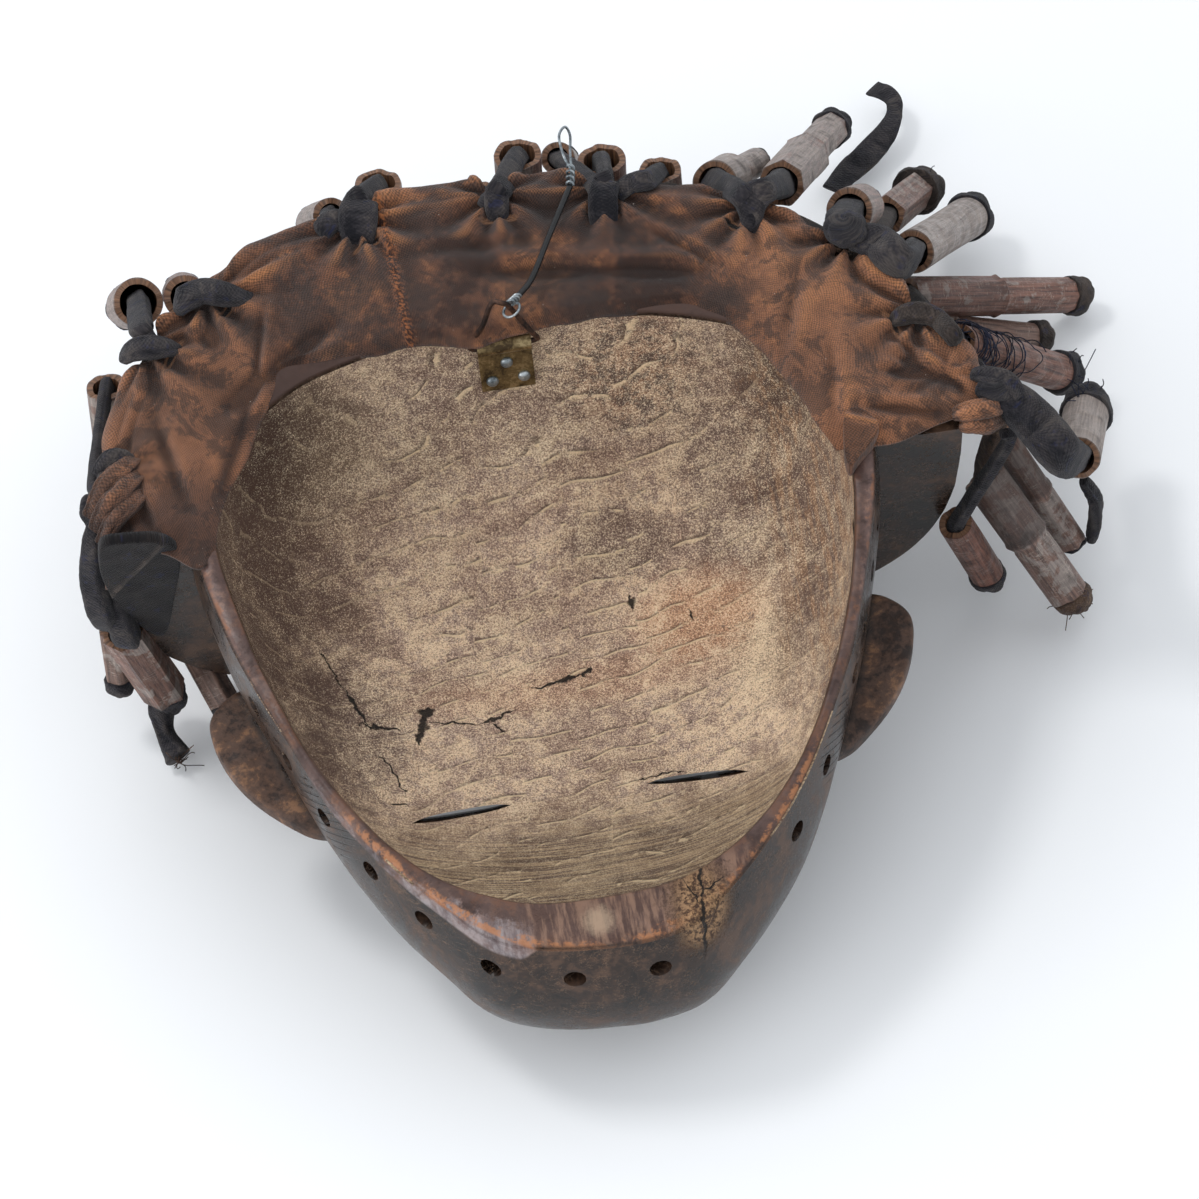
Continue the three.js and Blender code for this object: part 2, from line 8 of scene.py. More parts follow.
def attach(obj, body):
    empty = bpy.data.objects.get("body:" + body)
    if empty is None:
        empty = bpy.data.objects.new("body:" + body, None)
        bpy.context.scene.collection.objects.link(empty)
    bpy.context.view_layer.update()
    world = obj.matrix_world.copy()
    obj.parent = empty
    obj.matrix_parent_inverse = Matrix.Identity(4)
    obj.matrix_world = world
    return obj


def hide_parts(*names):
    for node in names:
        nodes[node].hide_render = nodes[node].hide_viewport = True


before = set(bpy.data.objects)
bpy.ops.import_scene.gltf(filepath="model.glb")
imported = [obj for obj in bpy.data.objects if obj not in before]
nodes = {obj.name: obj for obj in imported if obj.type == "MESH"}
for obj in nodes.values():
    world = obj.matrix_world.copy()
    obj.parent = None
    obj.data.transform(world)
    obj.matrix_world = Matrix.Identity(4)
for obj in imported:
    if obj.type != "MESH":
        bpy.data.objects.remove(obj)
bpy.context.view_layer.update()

mm = 0.001
print("frame loaded:", len(nodes), "nodes")

# The carving was laid out on its rim's plane (u across, v up from the chin, w out of the back),
# then leant back by tilt degrees until nose and coiffure touch the floor
carving = dict(tilt=15.0, noseV=54.0, noseDepth=79.0)
tiltSin = math.sin(math.radians(carving["tilt"]))
tiltCos = math.cos(math.radians(carving["tilt"]))
shiftY = -(carving["noseV"] * tiltCos + carving["noseDepth"] * tiltSin)
shiftZ = carving["noseDepth"] * tiltCos - carving["noseV"] * tiltSin


def placed(points):
    # y = shiftY + v cos(tilt) - w sin(tilt), z = shiftZ + v sin(tilt) + w cos(tilt), in millimetres
    p = np.asarray(points, float)
    u, v, w = p[..., 0], p[..., 1], p[..., 2]
    return np.stack([u, shiftY + v * tiltCos - w * tiltSin, shiftZ + v * tiltSin + w * tiltCos], -1)


def carved(points):
    # The way back, with y and z from the shift: v = y cos(tilt) + z sin(tilt), w = z cos(tilt) - y sin(tilt)
    p = np.asarray(points, float)
    y, z = p[..., 1] - shiftY, p[..., 2] - shiftZ
    return np.stack([p[..., 0], y * tiltCos + z * tiltSin, z * tiltCos - y * tiltSin], -1)


# Camera: the photograph looks down into the hollow from the chin's side
shot = dict(
    elevation=48.0, azimuth=-3.3, roll=6.3, distance=1.2, target=(0.0126, 0.0274, 0.0854), lens=133.43,
)


def addCamera():
    el, az, roll = (math.radians(shot[k]) for k in ("elevation", "azimuth", "roll"))
    back = Vector((math.sin(az) * math.cos(el), -math.cos(az) * math.cos(el), math.sin(el)))
    right = Vector((math.cos(az), math.sin(az), 0))
    up = back.cross(right)
    turnedRight = right * math.cos(roll) - up * math.sin(roll)
    turnedUp = right * math.sin(roll) + up * math.cos(roll)
    data = bpy.data.cameras.new("camera")
    data.lens = shot["lens"]
    data.sensor_width = 36
    data.sensor_fit = "HORIZONTAL"
    data.clip_start = 0.05
    data.clip_end = 20
    camera = bpy.data.objects.new("camera", data)
    bpy.context.scene.collection.objects.link(camera)
    turn = Matrix((turnedRight, turnedUp, back)).transposed().to_4x4()
    camera.matrix_world = Matrix.Translation(Vector(shot["target"]) + back * shot["distance"]) @ turn
    bpy.context.scene.camera = camera


addCamera()

# Studio: a broad soft key overhead, a pale floor and a pale surround
studio = dict(
    keyAt=(-0.72, 0.3, 1.7), keyAim=(0.02, 0.08, 0.05), keySize=(0.4, 0.34), keyPower=6.8,
    fillAt=(-1.5, -0.7, 0.55), fillSize=(1.2, 0.8), fillPower=10, surround=1.0,
)


def areaLight(name, at, aim, size, power):
    data = bpy.data.lights.new(name, "AREA")
    data.shape = "RECTANGLE"
    data.size, data.size_y = size
    data.energy = power
    light = bpy.data.objects.new(name, data)
    bpy.context.scene.collection.objects.link(light)
    light.location = at
    light.rotation_euler = (Vector(at) - Vector(aim)).to_track_quat("Z", "Y").to_euler()


areaLight("key light", studio["keyAt"], studio["keyAim"], studio["keySize"], studio["keyPower"])
areaLight("fill light", studio["fillAt"], studio["keyAim"], studio["fillSize"], studio["fillPower"])
world = bpy.data.worlds.new("surround")
bpy.context.scene.world = world
world.use_nodes = True
world.node_tree.nodes["Background"].inputs["Color"].default_value = (0.93, 0.96, 1.0, 1)
world.node_tree.nodes["Background"].inputs["Strength"].default_value = studio["surround"]
bpy.context.scene.view_settings.view_transform = "Standard"


def tone(color):
    # A screen colour from 0 to 255 as the linear values that shaders take
    return tuple((value / 255) ** 2.2 for value in color)


# Node graphs: each helper adds a node and returns its output; a colour is given as three screen values
class Graph:
    def __init__(self, tree):
        self.tree = tree

    def node(self, kind, inputs=(), **settings):
        made = self.tree.nodes.new(kind)
        for key, value in settings.items():
            setattr(made, key, value)
        for name, value in dict(inputs).items():
            self.feed(made.inputs[name], value)
        return made

    def feed(self, socket, value):
        if isinstance(value, bpy.types.NodeSocket):
            self.tree.links.new(value, socket)
        elif isinstance(value, tuple) and len(value) == 3 and len(socket.default_value) == 4:
            socket.default_value = (*tone(value), 1)
        else:
            socket.default_value = value

    def math(self, operation, a, b=0.0, clamp=False):
        return self.node("ShaderNodeMath", {0: a, 1: b}, operation=operation, use_clamp=clamp).outputs[0]

    def times(self, a, b):
        return self.math("MULTIPLY", a, b)

    def plus(self, a, b):
        return self.math("ADD", a, b)

    def minus(self, a, b):
        return self.math("SUBTRACT", a, b)

    def larger(self, a, b):
        return self.math("MAXIMUM", a, b)

    def weigh(self, *pairs):
        # The sum of values times their weights
        total = self.times(*pairs[0])
        for value, weight in pairs[1:]:
            total = self.plus(total, self.times(value, weight))
        return total

    def parts(self, vector):
        return self.node("ShaderNodeSeparateXYZ", {0: vector}).outputs

    def joined(self, **values):
        return self.node("ShaderNodeCombineXYZ", values).outputs[0]

    def vector(self, operation, a, b=(0.0, 0.0, 0.0)):
        made = self.node("ShaderNodeVectorMath", {0: a, 1: b}, operation=operation)
        return made.outputs["Value" if operation in ("LENGTH", "DOT_PRODUCT", "DISTANCE") else "Vector"]

    def mix(self, factor, a, b, blend="MIX"):
        made = self.node("ShaderNodeMix", data_type="RGBA", blend_type=blend)
        for socket, value in ((made.inputs[0], factor), (made.inputs[6], a), (made.inputs[7], b)):
            self.feed(socket, value)
        return made.outputs[2]

    def over(self, color, mask, share, paint):
        # The paint laid over a colour where the mask is, at most by its share
        return self.mix(self.times(mask, share), color, paint)

    def noise(self, vector, scale, detail=4.0, rough=0.6, warp=0.0):
        inputs = {
            "Vector": vector, "Scale": scale, "Detail": detail, "Roughness": rough, "Distortion": warp,
        }
        return self.node("ShaderNodeTexNoise", inputs).outputs["Fac"]

    def step(self, value, low, high, start=0.0, end=1.0):
        inputs = {"Value": value, "From Min": low, "From Max": high, "To Min": start, "To Max": end}
        return self.node("ShaderNodeMapRange", inputs, interpolation_type="SMOOTHSTEP").outputs[0]

    def stretch(self, vector, scale, turn=(0.0, 0.0, 0.0)):
        inputs = {"Vector": vector, "Scale": scale, "Rotation": turn}
        return self.node("ShaderNodeMapping", inputs).outputs[0]

    def group(self, tree, inputs):
        made = self.node("ShaderNodeGroup", node_tree=tree)
        for name, value in inputs.items():
            self.feed(made.inputs[name], value)
        return made.outputs

    def own(self, name, output="Fac"):
        return self.node("ShaderNodeAttribute", attribute_name=name).outputs[output]

    def bump(self, height, strength, distance):
        inputs = {"Height": height, "Strength": strength, "Distance": distance}
        return self.node("ShaderNodeBump", inputs).outputs["Normal"]


def newMaterial(name, roughness=0.6, metallic=0.0, color=(0.5, 0.5, 0.5)):
    material = bpy.data.materials.new(name)
    material.use_nodes = True
    shader = material.node_tree.nodes["Principled BSDF"]
    shader.inputs["Base Color"].default_value = (*color, 1)
    shader.inputs["Roughness"].default_value = roughness
    shader.inputs["Metallic"].default_value = metallic
    return material, Graph(material.node_tree), shader


def newGroup(name, inputs, outputs):
    tree = bpy.data.node_groups.new(name, "ShaderNodeTree")
    for key, kind in inputs:
        tree.interface.new_socket(key, in_out="INPUT", socket_type=kind)
    for key, kind in outputs:
        tree.interface.new_socket(key, in_out="OUTPUT", socket_type=kind)
    graph = Graph(tree)
    return tree, graph, graph.node("NodeGroupInput").outputs, graph.node("NodeGroupOutput").inputs


floorMaterial, _, _ = newMaterial("floor paper", 0.7, color=(0.90, 0.91, 0.92))
floorMesh = bpy.data.meshes.new("floor")
floorMesh.from_pydata([(-4, -4, 0), (4, -4, 0), (4, 4, 0), (-4, 4, 0)], [], [(0, 1, 2, 3)])
floorMesh.materials.append(floorMaterial)
floor = bpy.data.objects.new("floor", floorMesh)
bpy.context.scene.collection.objects.link(floor)
print("camera, lights and floor are in place")


# Meshes: points are millimetres in the frame; extra values become point attributes
def addMesh(name, points, faces, material=None, **values):
    mesh = bpy.data.meshes.new(name)
    mesh.from_pydata((np.asarray(points) * mm).tolist(), [], faces)
    mesh.update()
    mesh.shade_smooth()
    if material:
        mesh.materials.append(material)
    made = bpy.data.objects.new(name, mesh)
    bpy.context.scene.collection.objects.link(made)
    for key, value in values.items():
        setValue(made, key, value)
    return made


def setValue(made, key, value):
    value = np.asarray(value, np.float32)
    kind, field = ("FLOAT", "value") if value.ndim == 1 else ("FLOAT_VECTOR", "vector")
    made.data.attributes.new(key, kind, "POINT").data.foreach_set(field, value.ravel())


def meshPoints(made):
    found = np.empty(3 * len(made.data.vertices), np.float32)
    made.data.vertices.foreach_get("co", found)
    return found.reshape(-1, 3).astype(float) / mm


def outward(points, faces):
    # The signed volume is a sixth of the sum of a . (b x c); a negative one means the faces point in
    p = np.asarray(points)
    f = np.array([[q[0], q[k], q[k + 1]] for q in faces for k in range(1, len(q) - 1)])
    volume = (p[f[:, 0]] * np.cross(p[f[:, 1]], p[f[:, 2]])).sum()
    return faces if volume > 0 else [q[::-1] for q in faces]


def ringQuads(rows, around, closed=False):
    # Quads between neighbouring rings; in a closed run the last ring joins the first
    first = np.arange(rows if closed else rows - 1)[:, None]
    after = (first + 1) % rows * around
    first = first * around
    i = np.arange(around)
    j = (i + 1) % around
    return np.stack([first + i, first + j, after + j, after + i], -1).reshape(-1, 4).tolist()


def loft(rings, start=None, end=None):
    # Rings joined in order, with a fan from a point on each end: the ring's middle if none is given
    rows, around = rings.shape[:2]
    i = np.arange(around)
    j = (i + 1) % around
    tip = rows * around
    last = (rows - 1) * around
    fans = np.stack([np.full(around, tip), j, i], -1).tolist()
    fans += np.stack([np.full(around, tip + 1), last + i, last + j], -1).tolist()
    start = rings[0].mean(0) if start is None else start
    end = rings[-1].mean(0) if end is None else end
    points = np.concatenate([rings.reshape(-1, 3), [start], [end]])
    return points, outward(points, ringQuads(rows, around) + fans)


def ringNormals(rings):
    # The cross product of the steps round and along a surface of closed rings
    round_ = np.roll(rings, -1, 1) - np.roll(rings, 1, 1)
    along = np.gradient(rings, axis=0)
    normal = np.cross(round_, along)
    return normal / (np.linalg.norm(normal, axis=-1, keepdims=True) + 1e-9)


def grain(points, size, seed=0, octaves=3):
    # Smooth random values from -1 to 1: hashed lattice values blended by 3f^2 - 2f^3, in halving octaves
    total = 0.0
    for octave in range(octaves):
        q = np.asarray(points, float) / size * 2.0 ** octave + 17.3 * octave
        cell = np.floor(q).astype(np.int64)
        f = q - cell
        f = f * f * (3 - 2 * f)
        value = 0.0
        for corner in np.ndindex(2, 2, 2):
            at = cell + np.array(corner)
            h = at[..., 0] * 374761393 + at[..., 1] * 668265263 + at[..., 2] * 1442695041
            h = h + (seed + octave) * 974711
            h = ((h ^ (h >> 13)) * 1274126177) & 0xFFFFFFFF
            h = (h ^ (h >> 16)) & 0xFFFF
            share = np.where(corner, f, 1 - f).prod(-1)
            value = value + share * (h / 32767.5 - 1)
        total = total + value / 2.0 ** octave
    return total / 1.5


def bell(x, width):
    return np.exp(-((x / width) ** 2))


def blendMax(a, b, width):
    # A rounded maximum: width times the logarithm of the summed exponentials
    top = np.maximum(a, b)
    return top + width * np.log(np.exp((a - top) / width) + np.exp((b - top) / width))


def edgeDistance(outline, centre, angle):
    # Bisection on |u/half|^sidePower + |(v - centre)/height|^power = 1, for all directions at once
    near = np.zeros_like(angle)
    far = np.full_like(angle, 300.0)
    for _ in range(40):
        middle = (near + far) / 2
        u = np.abs(middle * np.cos(angle)) / outline["half"]
        v = centre + middle * np.sin(angle) - outline["centre"]
        height = np.where(v >= 0, outline["top"], outline["low"])
        power = np.where(v >= 0, outline["topPower"], outline["lowPower"])
        inside = u ** outline["sidePower"] + (np.abs(v) / height) ** power < 1
        near = np.where(inside, middle, near)
        far = np.where(inside, far, middle)
    return near


def domeCurve(slope, power):
    # A quarter of a superellipse: across = cos/D and deep = sin/D, where D is the power norm of (cos, sin)
    norm = (np.cos(slope) ** power + np.sin(slope) ** power) ** (1 / power)
    return np.cos(slope) / norm, np.sin(slope) / norm


def leant(points, slope, base=(0, 0, 0)):
    # Points of a frame that leans by slope degrees about the u axis, moved to the base
    p = np.asarray(points, float)
    c, s = math.cos(math.radians(slope)), math.sin(math.radians(slope))
    turned = np.stack([p[..., 0], p[..., 1] * c - p[..., 2] * s, p[..., 1] * s + p[..., 2] * c], -1)
    return turned + np.asarray(base, float)


def combine(made, other, operation):
    change = made.modifiers.new("combine", "BOOLEAN")
    change.object = other
    change.operation = operation
    change.solver = "MANIFOLD"
    mesh = bpy.data.meshes.new_from_object(made.evaluated_get(bpy.context.evaluated_depsgraph_get()))
    made.modifiers.clear()
    made.data = mesh
    bpy.data.objects.remove(other)
    return made


# Carved wood: face, coiffure and ears in one piece, hollowed from the back
wood = dict(
    face=dict(half=94, centre=138, low=138, lowPower=1.38, top=90, topPower=2.2, sidePower=2),
    hollow=dict(half=87.5, centre=138, low=123, lowPower=1.5, top=52, topPower=2.4, sidePower=2.5),
    hair=dict(half=118, centre=137, low=70, lowPower=2.4, top=98, topPower=2.4, sidePower=2.4),
    faceCentre=96, hollowCentre=112, faceDepth=62, hollowDepth=56, hairDepth=127,
    hairline=137, hairlineHalf=93, hairlineRise=28, eye=(33, 76),
    ear=((70, 104), (88, 105), (96, 99), (98, 93), (95, 82), (89, 72), (81, 64), (72, 57), (60, 57)),
    earTop=-26.5, earThickness=7.5,
    holeAngles=(13, 4, -6, -17, -37, -51, -83, -96, -109, -122, -135, -149, -163, -176),
)


def directions(count):
    return np.arange(count) * 2 * math.pi / count


def ellipsoidHeight(u, v, middle, half, root, rise):
    # The upper side of an ellipsoid standing at height root
    inside = 1 - ((u - middle[0]) / half[0]) ** 2 - ((v - middle[1]) / half[1]) ** 2
    return root + rise * np.sqrt(np.clip(inside, 0, None)) - 60 * np.clip(-inside, 0, 1)


def faceRelief(u, v, base):
    # Heights out of the face: nose, lips, lids and brows joined to the face by rounded maxima
    vAt = [44, 47, 51, 57, 70, 92, 107, 112]
    half = np.interp(v, vAt, [5, 9, 12.5, 11.5, 7.5, 5, 3.4, 3])
    crest = np.interp(v, vAt, [56, 70, 82.5, 84, 78, 74, 70.5, 68])
    nose = 55 + (crest - 55) * (1 - np.clip(np.abs(u) / half / 1.35, 0, 1) ** 2.2)
    lips = np.maximum(
        ellipsoidHeight(u, v, (0, 34.5), (22, 4.6), 59, 7.6),
        ellipsoidHeight(u, v, (0, 26.5), (19, 4.8), 58.5, 7.8),
    )
    side = np.abs(u)
    lids = ellipsoidHeight(side, v, wood["eye"], (18, 9.5), 58, 9)
    browV = np.interp(side, [2, 6, 18, 32, 45, 56, 60], [92, 96, 101, 103, 100, 93, 88])
    browHeight = 3.6 * np.sqrt(np.clip(1 - ((v - browV) / 4) ** 2, 0, 1)) * np.clip((62 - side) / 20, 0, 1)
    height = blendMax(base + browHeight * np.clip(side / 4, 0, 1), nose, 0.8)
    height = blendMax(height, lids, 0.5)
    return blendMax(height, lips, 0.4)


def edgeRing(centre, angle, r, w):
    # A ring at distance r from (0, centre), at height w
    return np.stack([r * np.cos(angle), centre + r * np.sin(angle), np.full(len(angle), w)], -1)


def faceSolid(around=360, rows=126):
    # A dome of superellipse sections over the face's outline, with the relief added and the rim eased
    angle = directions(around)[None]
    edge = edgeDistance(wood["face"], wood["faceCentre"], angle[0])[None]
    chinTurn = np.degrees(angle) - 270
    edge = edge + 1.7 * bell(chinTurn + 19, 7) + 1.5 * bell(chinTurn - 14, 6) - 1.4 * bell(chinTurn + 2, 9)
    edge = edge + 0.5 * grain(np.stack([np.cos(angle) * 60, np.sin(angle) * 60, angle * 0], -1), 14, 40, 2)
    down = np.clip(-np.sin(angle), 0, None)
    power = 2.6 + 3.4 * down ** 3
    slope = np.radians(np.linspace(1.2, 89.6, rows))[:, None]
    across, deep = domeCurve(slope, power)
    r = edge * across * (1 + (0.045 + 0.055 * down ** 2) * np.sin(math.pi * deep))
    u, v = r * np.cos(angle), wood["faceCentre"] + r * np.sin(angle)
    middle = deep ** power
    socket = 5 * bell(np.abs(u) - 33, 22) * bell(v - 80, 14)
    chin = 3 * bell(u, 20) * bell(v - 9, 9)
    base = deep * (wood["faceDepth"] + 0.22 * np.clip(v - 54, 0, None)) + (chin - socket) * middle
    height = np.where(middle > 0.4, faceRelief(u, v, base), base)
    dome = np.stack([u, v, -height], -1)
    wear = grain(dome, 22, 3)[..., None] * 0.55 + grain(dome, 6, 4)[..., None] * 0.16
    dome = dome + ringNormals(dome) * wear * np.clip(deep, 0.3, 1)[..., None]
    rim = []
    for inset, w in ((3.6, 0.0), (1.5, -0.05), (0.6, -0.4), (0.1, -1.0)):
        ring = edgeRing(wood["faceCentre"], angle[0], edge[0] - inset, w)
        ring[:, 2] += 0.5 * grain(ring * [1, 1, 0], 28, 5) - 0.25
        rim.append(ring)
    rings = np.concatenate([np.array(rim), dome])
    points, faces = loft(rings, (0, wood["faceCentre"], -0.3), dome[-1].mean(0))
    return addMesh("carved_wood", placed(points), faces)


def hairSolid(around=320, rows=96):
    # A deep dome over the coiffure's outline, with fine braids: |sin| of the direction, from its edge down
    angle = directions(around)[None]
    edge = edgeDistance(wood["hair"], wood["hair"]["centre"], angle[0])[None]
    slope = np.radians(np.linspace(1.5, 89.5, rows))[:, None]
    across, deep = domeCurve(slope, 2.6 + 0.7 * bell(118 * np.sin(angle), 18))
    r = edge * across
    u, v = r * np.cos(angle), wood["hair"]["centre"] + r * np.sin(angle)
    dome = np.stack([u, v, -deep * (wood["hairDepth"] - 0.6 * np.clip(185 - v, 0, None))], -1)
    braid = np.abs(np.sin(angle * 18)) ** 0.7 * np.clip((deep - 0.22) / 0.1, 0, 1)
    braid = braid * np.clip(across * 6, 0, 1)
    relief = 0.9 * (braid - 1) + 0.4 * grain(dome, 18, 6) + 0.12 * grain(dome, 4, 7)
    dome = dome + ringNormals(dome) * relief[..., None]
    points, faces = loft(dome, (0, wood["hair"]["centre"], 0.0), dome[-1].mean(0))
    return addMesh("hair", placed(points), faces)


def prism(outline, low, high):
    # An outline of (u, v) drawn along w from low to high, with one many-sided face at each end
    ring = np.asarray(outline, float)
    count = len(ring)
    points = np.concatenate([np.column_stack([ring, np.full(count, w)]) for w in (low, high)])
    i = np.arange(count)
    j = (i + 1) % count
    faces = [list(range(count)), list(range(2 * count - 1, count - 1, -1))]
    faces += np.stack([j, i, i + count, j + count], -1).tolist()
    return points, faces


def hairBlock():
    # What lies above the hairline, an arc that rises in the middle
    t = np.linspace(1, -1, 41)
    rise = wood["hairlineRise"] * (1 - np.abs(t) ** 2.4)
    arc = np.column_stack([t * wood["hairlineHalf"], wood["hairline"] + rise])
    low = wood["hairline"]
    points, faces = prism([(140, 300), (140, low), *arc.tolist(), (-140, low), (-140, 300)], -150, 20)
    return addMesh("block", placed(points), outward(points, faces))


def rounded(outline, rounds=3):
    # Corner cutting: each corner becomes two points, a quarter and three quarters along the sides
    corner = np.array(outline, float)
    for _ in range(rounds):
        after = np.roll(corner, -1, 0)
        corner = np.stack([0.75 * corner + 0.25 * after, 0.25 * corner + 0.75 * after], 1).reshape(-1, 2)
    return corner


def earSolid(side):
    # An outline of (u, v) drawn along w, with its edges eased, mirrored by side = -1 or 1
    outline = rounded(wood["ear"])
    middle = outline.mean(0)
    top, bottom = wood["earTop"], wood["earTop"] - wood["earThickness"]
    upper = ((0.5, top), (0.9, top), (0.965, top - 0.35), (1, top - 1.5))
    lower = ((1, bottom + 1.5), (0.965, bottom + 0.35), (0.9, bottom))
    rings = []
    for size, w in (*upper, *lower):
        ring = middle + (outline - middle) * size
        rings.append(np.column_stack([side * ring[:, 0], ring[:, 1], np.full(len(ring), w)]))
    rings = np.array(rings)
    rings[..., 2] += 0.25 * grain(rings, 9, 8)
    return placedLoft("ear", rings)


def placedLoft(name, rings, *ends):
    points, faces = loft(placed(rings), *ends)
    return addMesh(name, points, faces)


def hollowSolid(around=360, rows=116):
    # The dome that is dug out: scalloped by tool strokes, with a lip that eases its edge
    angle = directions(around)[None]
    edge = edgeDistance(wood["hollow"], wood["hollowCentre"], angle[0])[None]
    edge = edge + 0.7 * grain(np.stack([np.cos(angle) * 60, np.sin(angle) * 60, angle * 0], -1), 16, 41, 3)
    sine = np.sin(angle)
    power = 3 - 1.4 * np.clip(sine, 0, None) ** 1.5 + 0.4 * np.clip(-sine, 0, None)
    slope = np.radians(np.linspace(1.5, 89.6, rows))[:, None]
    across, deep = domeCurve(slope, power)
    r = edge * across
    u, v = r * np.cos(angle), wood["hollowCentre"] + r * np.sin(angle)
    dome = np.stack([u, v, -deep * (wood["hollowDepth"] + 0.16 * (v - 54))], -1)
    stroke = (v - 0.15 * u + 5 * grain(dome, 45, 9)) / 8.5
    scallop = 0.45 * (np.abs((stroke % 1) * 2 - 1) ** 2 - 0.4)
    relief = scallop + 0.9 * grain(dome, 30, 10) + 0.25 * grain(dome, 7, 11)
    dome = dome + ringNormals(dome) * (relief * np.clip(deep * 3, 0.15, 1))[..., None]
    lip = []
    for out, w in ((2.6, 6.0), (1.5, 0.3), (0.7, -0.4)):
        lip.append(edgeRing(wood["hollowCentre"], angle[0], edge[0] + out, w))
    rings = np.concatenate([np.array(lip), dome])
    return placedLoft("hollow", rings, placed((0, wood["hollowCentre"], 6.0)))


def rimHoles():
    # Oval bores through the edge below the rim, each along its own direction from the face's centre
    bore = dict(half=(3.0, 2.5), w=-10.6, inside=26, length=40)
    made = []
    for angle in np.radians(wood["holeAngles"]):
        edge = edgeDistance(wood["face"], wood["faceCentre"], np.array([angle]))[0]
        along = np.array([math.cos(angle), math.sin(angle), 0])
        across = np.array([-math.sin(angle), math.cos(angle), 0])
        turn = directions(14)[:, None]
        ring = bore["half"][0] * np.cos(turn) * across + bore["half"][1] * np.sin(turn) * [0, 0, 1]
        start = [0, wood["faceCentre"], bore["w"]] + along * (edge - bore["inside"])
        rings = np.array([ring + start, ring + start + along * bore["length"]])
        made.append(placedLoft("hole", rings))
    return made


def eyeSlit(side):
    # A thin lens-shaped prism through the lid, leant back about the u axis
    t = np.linspace(-1, 1, 15)
    upper = np.column_stack([14 * t, 1.0 * (1 - np.abs(t) ** 4)])
    lower = np.column_stack([14 * t[::-1], -0.9 * (1 - np.abs(t[::-1]) ** 3)])[1:-1]
    points, faces = prism(np.concatenate([upper, lower]), -60, 0)
    moved = leant(points, 30, (side * wood["eye"][0], 58, -35))
    return addMesh("slit", placed(moved), outward(moved, faces))


def buildWood(outside, inside):
    # Face and coiffure joined with the ears, less the hollow, the rim's bores and the eye slits
    made = faceSolid()
    combine(made, combine(hairSolid(), hairBlock(), "INTERSECT"), "UNION")
    for side in (-1, 1):
        combine(made, earSolid(side), "UNION")
    combine(made, hollowSolid(), "DIFFERENCE")
    for cut in (*rimHoles(), eyeSlit(-1), eyeSlit(1)):
        combine(made, cut, "DIFFERENCE")
    points = meshPoints(made)
    points[:, 2] = np.maximum(points[:, 2], 0.0)
    made.data.vertices.foreach_set("co", (points * mm).astype(np.float32).ravel())
    local = carved(points)
    setValue(made, "carve", local)
    angle = np.arctan2(local[:, 1] - wood["hollowCentre"], local[:, 0])
    edge = edgeDistance(wood["hollow"], wood["hollowCentre"], angle)
    r = np.hypot(local[:, 0], local[:, 1] - wood["hollowCentre"])
    depth = -local[:, 2]
    deepest = wood["hollowDepth"] + 0.16 * (local[:, 1] - 54)
    room = (r / edge) ** 3 + (np.clip(depth, 0, None) / deepest) ** 3
    dug = np.clip((1.22 - room) / 0.12, 0, 1) * np.clip((depth - 0.4) / 1.2, 0, 1)
    made.data.materials.clear()
    made.data.materials.append(outside)
    made.data.materials.append(inside)
    count = len(made.data.polygons)
    middle, normal = np.empty(count * 3), np.empty(count * 3)
    made.data.polygons.foreach_get("center", middle)
    made.data.polygons.foreach_get("normal", normal)
    middle = middle.reshape(-1, 3) / mm
    facing = carved(middle + normal.reshape(-1, 3)) - carved(middle)
    away = carved(middle)[:, :2] - (0, wood["hollowCentre"])
    inward = (away * facing[:, :2]).sum(1) < 0.3 * np.linalg.norm(away, axis=1)
    paint = []
    for face in made.data.polygons:
        paint.append(int(inward[face.index] and dug[list(face.vertices)].min() > 0.15))
    made.data.polygons.foreach_set("material_index", paint)
    made.data.shade_smooth()
    made.data.set_sharp_from_angle(angle=math.radians(50))
    return made


# Materials: patterns read millimetres from the attributes that each piece carries
vectorSocket, colorSocket, valueSocket = "NodeSocketVector", "NodeSocketColor", "NodeSocketFloat"


def makeStains():
    # A broad cloud and a fine one pick between a dark, a middle and a light colour
    inputs = [("Vector", vectorSocket), ("Scale", valueSocket)]
    inputs += [(name, colorSocket) for name in ("Dark", "Middle", "Light")]
    tree, graph, ins, outs = newGroup("stains", inputs, [("Color", colorSocket), ("Cloud", valueSocket)])
    broad = graph.noise(ins["Vector"], ins["Scale"], 5, 0.65, 0.5)
    fine = graph.noise(ins["Vector"], graph.times(ins["Scale"], 7), 4, 0.7)
    cloud = graph.plus(graph.times(broad, 0.68), graph.times(fine, 0.32))
    color = graph.mix(graph.step(cloud, 0.40, 0.51), ins["Dark"], ins["Middle"])
    graph.feed(outs["Color"], graph.mix(graph.step(cloud, 0.51, 0.61), color, ins["Light"]))
    graph.feed(outs["Cloud"], cloud)
    return tree


